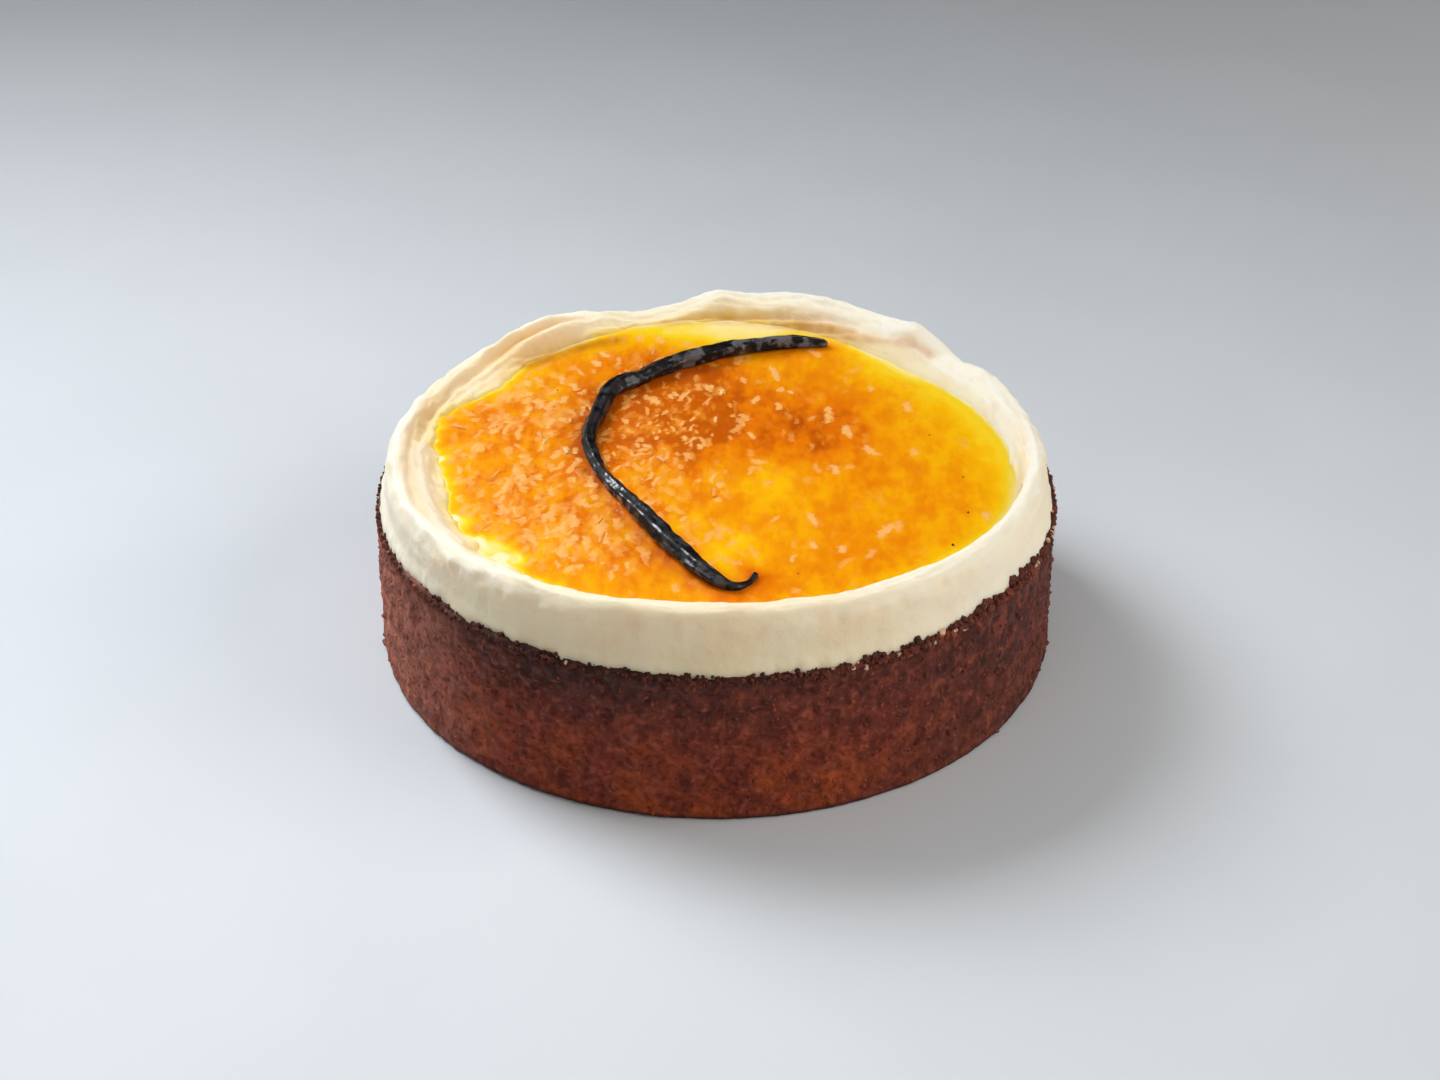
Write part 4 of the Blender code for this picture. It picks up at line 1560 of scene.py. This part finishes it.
@dataclass
class FruitShreds:
    """Shreds of candied fruit: short bent strips that show through the top of the gel.

    The large ones are placed one by one: x, y, length and width.
    """

    count: int = 760
    standing: int = 24
    length: tuple[float, float] = (2.2, 5.6)
    width: tuple[float, float] = (0.9, 1.9)
    rings: int = 7
    sides: int = 8
    seed: int = 7
    large: tuple[tuple[float, float, float, float], ...] = (
        (27, 18, 7.5, 2.0), (31, 10, 6, 1.8), (14.5, 39, 8, 1.5), (36, 1, 5, 1.8), (-48, -15, 7, 1.8),
        (-15, 25, 6, 2.0), (-7.5, 28, 6, 1.6), (-34, -43, 6, 2.0), (-32, -30, 6, 2.4), (-26, -34, 5, 2.2),
        (22, -30, 6, 1.8), (38, -34, 6, 2.0), (46, 22, 5, 1.6), (-30, -22, 5, 1.8))
    spots: Numbers = field(init=False)
    turns: Numbers = field(init=False)
    sizes: Numbers = field(init=False)
    tones: Numbers = field(init=False)

    def __post_init__(self) -> None:
        """Draws every shred's place, turn, size and tone, in that order, and adds the large ones."""
        draw = np.random.default_rng(self.seed)
        tries = self.count * 8
        angle = draw.uniform(-math.pi, math.pi, tries)
        reach = (SHORE.at(angle) - 2.5) * np.sqrt(draw.random(tries))
        spots = round_the_cake(reach, angle, angle)[:, :2]
        clear = away_from_line(spots, smooth_line(POD_LINE, 12)) > 2.6
        kept = clear & (draw.random(tries) < self.density(spots))
        spots = spots[kept][: self.count]
        placed, found = np.array(self.large), len(spots)
        turns = draw.normal(0, 0.42, found)
        long = self.length[0] + (self.length[1] - self.length[0]) * draw.random(found) ** 1.5
        sizes = np.stack([long, draw.uniform(*self.width, found)], axis=-1)
        sizes = sizes * (1 - 0.42 * spot(spots, -10, 14, 16, 22))[:, None]
        tones = np.clip(draw.normal(0.5, 0.28, found) + 0.1 * smooth_step(15, 40, -spots[:, 0]), 0, 1)
        self.spots = np.vstack([spots, placed[:, :2]])
        self.turns = math.pi / 2 + np.append(turns, draw.normal(0, 0.35, len(placed)))
        self.sizes = np.vstack([sizes, placed[:, 2:]])
        self.tones = np.append(tones, np.full(len(placed), 0.95))

    def density(self, spots: Numbers) -> Numbers:
        """How likely a shred is kept at each place.

        Args:
            spots: Places seen from above.

        Returns:
            Most at the left and on both sides of the pod's bend, few at the right and at the
            back left, in clumps.
        """
        x, y = spots[..., 0], spots[..., 1]
        left = 0.05 + 0.5 * smooth_step(-20, 30, -x) * smooth_step(-58, -42, y)
        left = left * (1 - 0.8 * spot(spots, -34, 40, 20, 15))
        inside = 0.42 * spot(spots, -14, 6, 11, 18) + 0.18 * spot(spots, 2, 22, 11, 12)
        flat = np.stack([x, y, 0 * x], axis=-1)
        clumps = 0.55 + 0.75 * smooth_step(-0.35, 0.45, rough_hills(flat, 8, 2, 0.5, seed=113))
        fewer = (1 - 0.6 * smooth_step(30, 55, x)) * (1 - spot(spots, 2, 61, 20, 9))
        return (left + 0.55 * spot(spots, -32, -30, 14, 14) + inside) * clumps * fewer

    def shown(self, places: Numbers) -> tuple[Numbers, Numbers]:
        """How much of the shreds shows at the top of the gel.

        Args:
            places: Places seen from above.

        Returns:
            The largest of the shreds' bell curves at each place, each as long and wide as its
            shred and slightly bent, and that shred's tone.
        """
        flat = places.reshape(-1, 2)
        raised, tone = np.zeros(len(flat)), np.zeros(len(flat))
        bends = np.random.default_rng(self.seed + 2).uniform(-0.5, 0.5, len(self.spots))
        rows = zip(self.spots, self.turns, self.sizes, self.tones, bends)
        for place, turn, (long, wide), own_tone, bend in rows:
            near = np.flatnonzero(np.abs(flat - place).max(axis=1) < long + wide)
            away = flat[near] - place
            along = away @ (math.cos(turn), math.sin(turn))
            across = away @ (-math.sin(turn), math.cos(turn)) + bend * along**2 / long
            shape = np.exp(-((along / (0.55 * long)) ** 4) - (across / (0.6 * wide)) ** 2)
            higher = shape > raised[near]
            raised[near[higher]] = shape[higher]
            tone[near[higher]] = own_tone
        return raised.reshape(places.shape[:-1]), tone.reshape(places.shape[:-1])

    def build(self) -> Piece:
        """Makes the standing shreds as bent, flattened tubes with rounded ends.

        Returns:
            The piece. A point lies at share s of the length, from -1 to 1, and turn t round it:
            the middle is moved sideways by the bend times s^2 - 1/3, and the radius is
            sqrt(1 - (0.9 s)^2) times half the width, times a seeded unevenness.
        """
        draw = np.random.default_rng(self.seed + 1)
        count = self.standing
        spots, turns = self.spots[:count], self.turns[:count, None, None]
        long, wide = 0.85 * self.sizes[:count].T[:, :, None, None]
        share = np.linspace(-1, 1, self.rings)[None, :, None]
        turn = np.linspace(0, FULL_TURN, self.sides, endpoint=False)[None, None, :]
        bend = draw.uniform(-0.08, 0.08, (count, 1, 1)) * long
        uneven = draw.uniform(0.8, 1.15, (count, self.rings, self.sides))
        thick = 0.5 * wide * np.sqrt(1 - (0.9 * share) ** 2) * uneven
        along = share * long / 2
        across = bend * (share**2 - 1 / 3) + thick * np.cos(turn)
        up = 0.5 * thick * np.sin(turn) + draw.uniform(-0.03, 0.03, (count, 1, 1)) * long * share
        level = jam_height(np.hypot(*spots.T)) + 0.05 + draw.uniform(-0.15, 0.1, count)
        x = spots[:, 0, None, None] + along * np.cos(turns) - across * np.sin(turns)
        y = spots[:, 1, None, None] + along * np.sin(turns) + across * np.cos(turns)
        points = np.stack([x, y, level[:, None, None] + up], axis=-1).reshape(-1, 3)
        piece = new_piece("fruit_shreds", points, tube_faces(count, self.rings, self.sides))
        note(piece, tone=np.repeat(self.tones[:count], self.rings * self.sides))
        return dress(piece, CandiedFruit().material(), "jam")


# ---- Vanilla pod and seeds ------------------------------------------------------------------


@dataclass
class VanillaPod:
    """The pod: a flattened, wrinkled tube that lies along its line, thin at the hook.

    The radii are given as (share of the length, half thickness).
    """

    pieces: int = 30
    sides: int = 32
    flat: float = 0.86
    sink: float = 0.25
    gap: float = 0.3
    radii: tuple[tuple[float, float], ...] = (
        (0.0, 1.1), (0.06, 1.8), (0.13, 2.1), (0.2, 2.35), (0.27, 1.95), (0.31, 2.35), (0.4, 2.0),
        (0.47, 1.95), (0.54, 1.5), (0.6, 1.6), (0.68, 2.3), (0.78, 2.0), (0.86, 1.2), (0.93, 0.7),
        (0.98, 0.75), (1.0, 0.95))

    def build(self) -> Piece:
        """Makes the pod.

        Returns:
            The piece that replaces node vanilla_pod. At share s of the line and turn t round it
            the radius is the noted half thickness, times five soft ridges that twist along the
            pod, times seeded wrinkles, and it closes as a half circle at both ends.
        """
        line = smooth_line(POD_LINE, self.pieces)
        share = np.linspace(0, 1, len(line))
        radius = np.interp(share, *np.array(self.radii).T)
        radius = softened(np.stack([share, radius], axis=-1), 8)[:, 1]
        run = distance_along(line)
        to_end = np.minimum(run, run[-1] - run)
        closing = np.sqrt(np.clip(1 - (1 - np.minimum(to_end / radius, 1)) ** 2, 0.004, 1))
        ahead = np.gradient(line, axis=0)
        ahead /= np.linalg.norm(ahead, axis=1, keepdims=True)
        along, turn = np.meshgrid(run, np.linspace(0, FULL_TURN, self.sides, endpoint=False), indexing="ij")
        wrinkle = rough_hills(round_the_cake(1.2, turn, along / 3), 1.7, 2, 0.4, seed=131)
        pinch = rough_hills(np.stack([along, 0 * along, 0 * along], axis=-1), 5, 2, 0.5, seed=137)
        size = 0.97 + 0.09 * np.cos(5 * turn + along / 9) + 0.2 * wrinkle + 0.2 * pinch
        size = size * (radius * closing)[:, None]
        across, up = size * np.cos(turn), size * np.sin(turn) * self.flat
        height = jam_height(np.hypot(*line.T)) + self.gap + radius - self.sink
        x = line[:, 0, None] - across * ahead[:, 1, None]
        y = line[:, 1, None] + across * ahead[:, 0, None]
        points = np.stack([x, y, height[:, None] + up], axis=-1).reshape(-1, 3)
        piece = new_piece("pod_skin", points, tube_faces(1, len(line), self.sides))
        # Painted sheen: most from the blunt end along the back run, some along the lower run.
        sheen_share = 0.12 + 0.75 * (1 - smooth_step(0.16, 0.27, share)) + 0.25 * bell(share - 0.8, 0.08)
        note(piece, bloom=np.repeat(sheen_share, self.sides))
        self.unroll(piece, share)
        return dress(piece, PodSkin().material(), "vanilla_pod", "vanilla_pod")

    def unroll(self, piece: Piece, share: Numbers) -> None:
        """Gives the pod its UV map: there and back round it, and along it.

        Args:
            piece: The pod.
            share: Share of the length of each ring.
        """
        layer = piece.data.uv_layers.new(name="along_the_pod")
        corner = np.zeros(len(piece.data.loops), dtype=np.int64)
        piece.data.loops.foreach_get("vertex_index", corner)
        ring, side = np.divmod(corner, self.sides)
        uv = np.stack([np.abs(side / self.sides - 0.5) * 2, share[ring]], axis=-1)
        layer.data.foreach_set("uv", uv.ravel().astype(np.float32))


@dataclass
class Seeds:
    """A few dark specks in the gel near its right edge: x, y and radius."""

    places: tuple[Triple, ...] = (
        (52.6, -40.2, 0.42), (57.0, -10.9, 0.22), (57.0, -26.4, 0.26), (50.5, 8.5, 0.2), (-38.5, 30.2, 0.2),
        (18.0, -52.0, 0.18), (-52.0, 12.5, 0.18))

    def build(self) -> Piece:
        """Makes the specks, lying on the gel.

        Returns:
            The piece.
        """
        x, y, size = np.array(self.places).T
        middle = np.stack([x, y, jam_height(np.hypot(x, y)) + 0.15], axis=-1)
        piece = lumps("dark_specks", middle, size, 3, 6, np.random.default_rng(3), 0.7, 0 * size)
        return dress(piece, BurntCrumb().material(), "vanilla_pod")


# ---- Studio ---------------------------------------------------------------------------------


@dataclass(frozen=True)
class SoftLight:
    """A square soft light: places and size in metres, power in watts, spread in degrees."""

    name: str
    place: Triple
    target: Triple
    size: float
    power: float
    spread: float
    colour: Colour

    def hang(self) -> None:
        """Adds the light, turned towards its target."""
        lamp = bpy.data.lights.new(self.name, "AREA")
        lamp.size = self.size
        lamp.energy = self.power
        lamp.spread = math.radians(self.spread)
        lamp.color = self.colour
        holder = bpy.data.objects.new(self.name, lamp)
        holder.location = self.place
        ahead = Vector(self.target) - Vector(self.place)
        holder.rotation_euler = ahead.to_track_quat("-Z", "Y").to_euler()
        bpy.context.scene.collection.objects.link(holder)


@dataclass
class Studio:
    """The pale table, its half width in millimetres, and the soft lights and camera, in metres."""

    table_half: float = 2500
    camera_place: Triple = (0.00098, -0.5657, 0.3759)
    camera_tilt: float = math.radians(31.9947)
    lens: float = 70.0
    sensor: float = 36.0
    nearest: float = 0.01
    ambient: float = 0.01
    sky: tuple[float, float, float, float] = (0.93, 0.95, 1.0, 1.0)
    lights: tuple[SoftLight, ...] = (
        SoftLight("key", (-0.557, 0.401, 0.669), (-0.12, -0.2, 0), 0.5, 2.25, 72, (0.88, 0.94, 1.0)),
        SoftLight("overhead", (-0.25, -0.25, 1.5), (-0.25, -0.25, 0), 2.2, 6.5, 180, (0.78, 0.88, 1.0)),
        SoftLight("right", (1.02, -0.24, 0.6), (0, 0, 0), 1.0, 9.8, 180, (1.0, 0.98, 0.93)),
        SoftLight("front", (-0.3, -1.04, 0.6), (0, 0, 0.03), 1.0, 2.5, 180, (1.0, 0.9, 0.75)),
    )

    def build(self) -> None:
        """Makes the studio and sets the scene's camera."""
        scene = bpy.context.scene
        corners = self.table_half * np.array([(-1, -1, 0), (1, -1, 0), (1, 1, 0), (-1, 1, 0)])
        table = new_piece("table", corners, [(0, 1, 2, 3)])
        table.data.materials.append(TableTop().material())
        for light in self.lights:
            light.hang()
        scene.world = bpy.data.worlds.new("studio")
        scene.world.use_nodes = True
        background = scene.world.node_tree.nodes["Background"]
        background.inputs["Color"].default_value = self.sky
        background.inputs["Strength"].default_value = self.ambient
        lens = bpy.data.cameras.new("camera")
        lens.lens = self.lens
        lens.sensor_width = self.sensor
        lens.clip_start = self.nearest
        scene.camera = bpy.data.objects.new("camera", lens)
        scene.camera.location = self.camera_place
        scene.camera.rotation_euler = (math.pi / 2 - self.camera_tilt, 0, 0)
        scene.collection.objects.link(scene.camera)
        scene.view_settings.view_transform = "Standard"


def main() -> None:
    """Builds the cake from the sponge up, then the studio, and reports each piece."""
    logging.basicConfig(level=logging.INFO, format="%(name)s: %(message)s")
    sponge, cream, shreds = Sponge(), CreamLayer(), FruitShreds()
    sponge.build()
    SideCrumbs().build(sponge)
    cream.build()
    EdgeCrumbs().build(sponge, cream)
    JamPool().build(shreds)
    shreds.build()
    VanillaPod().build()
    Seeds().build()
    Studio().build()


if __name__ == "__main__":
    main()
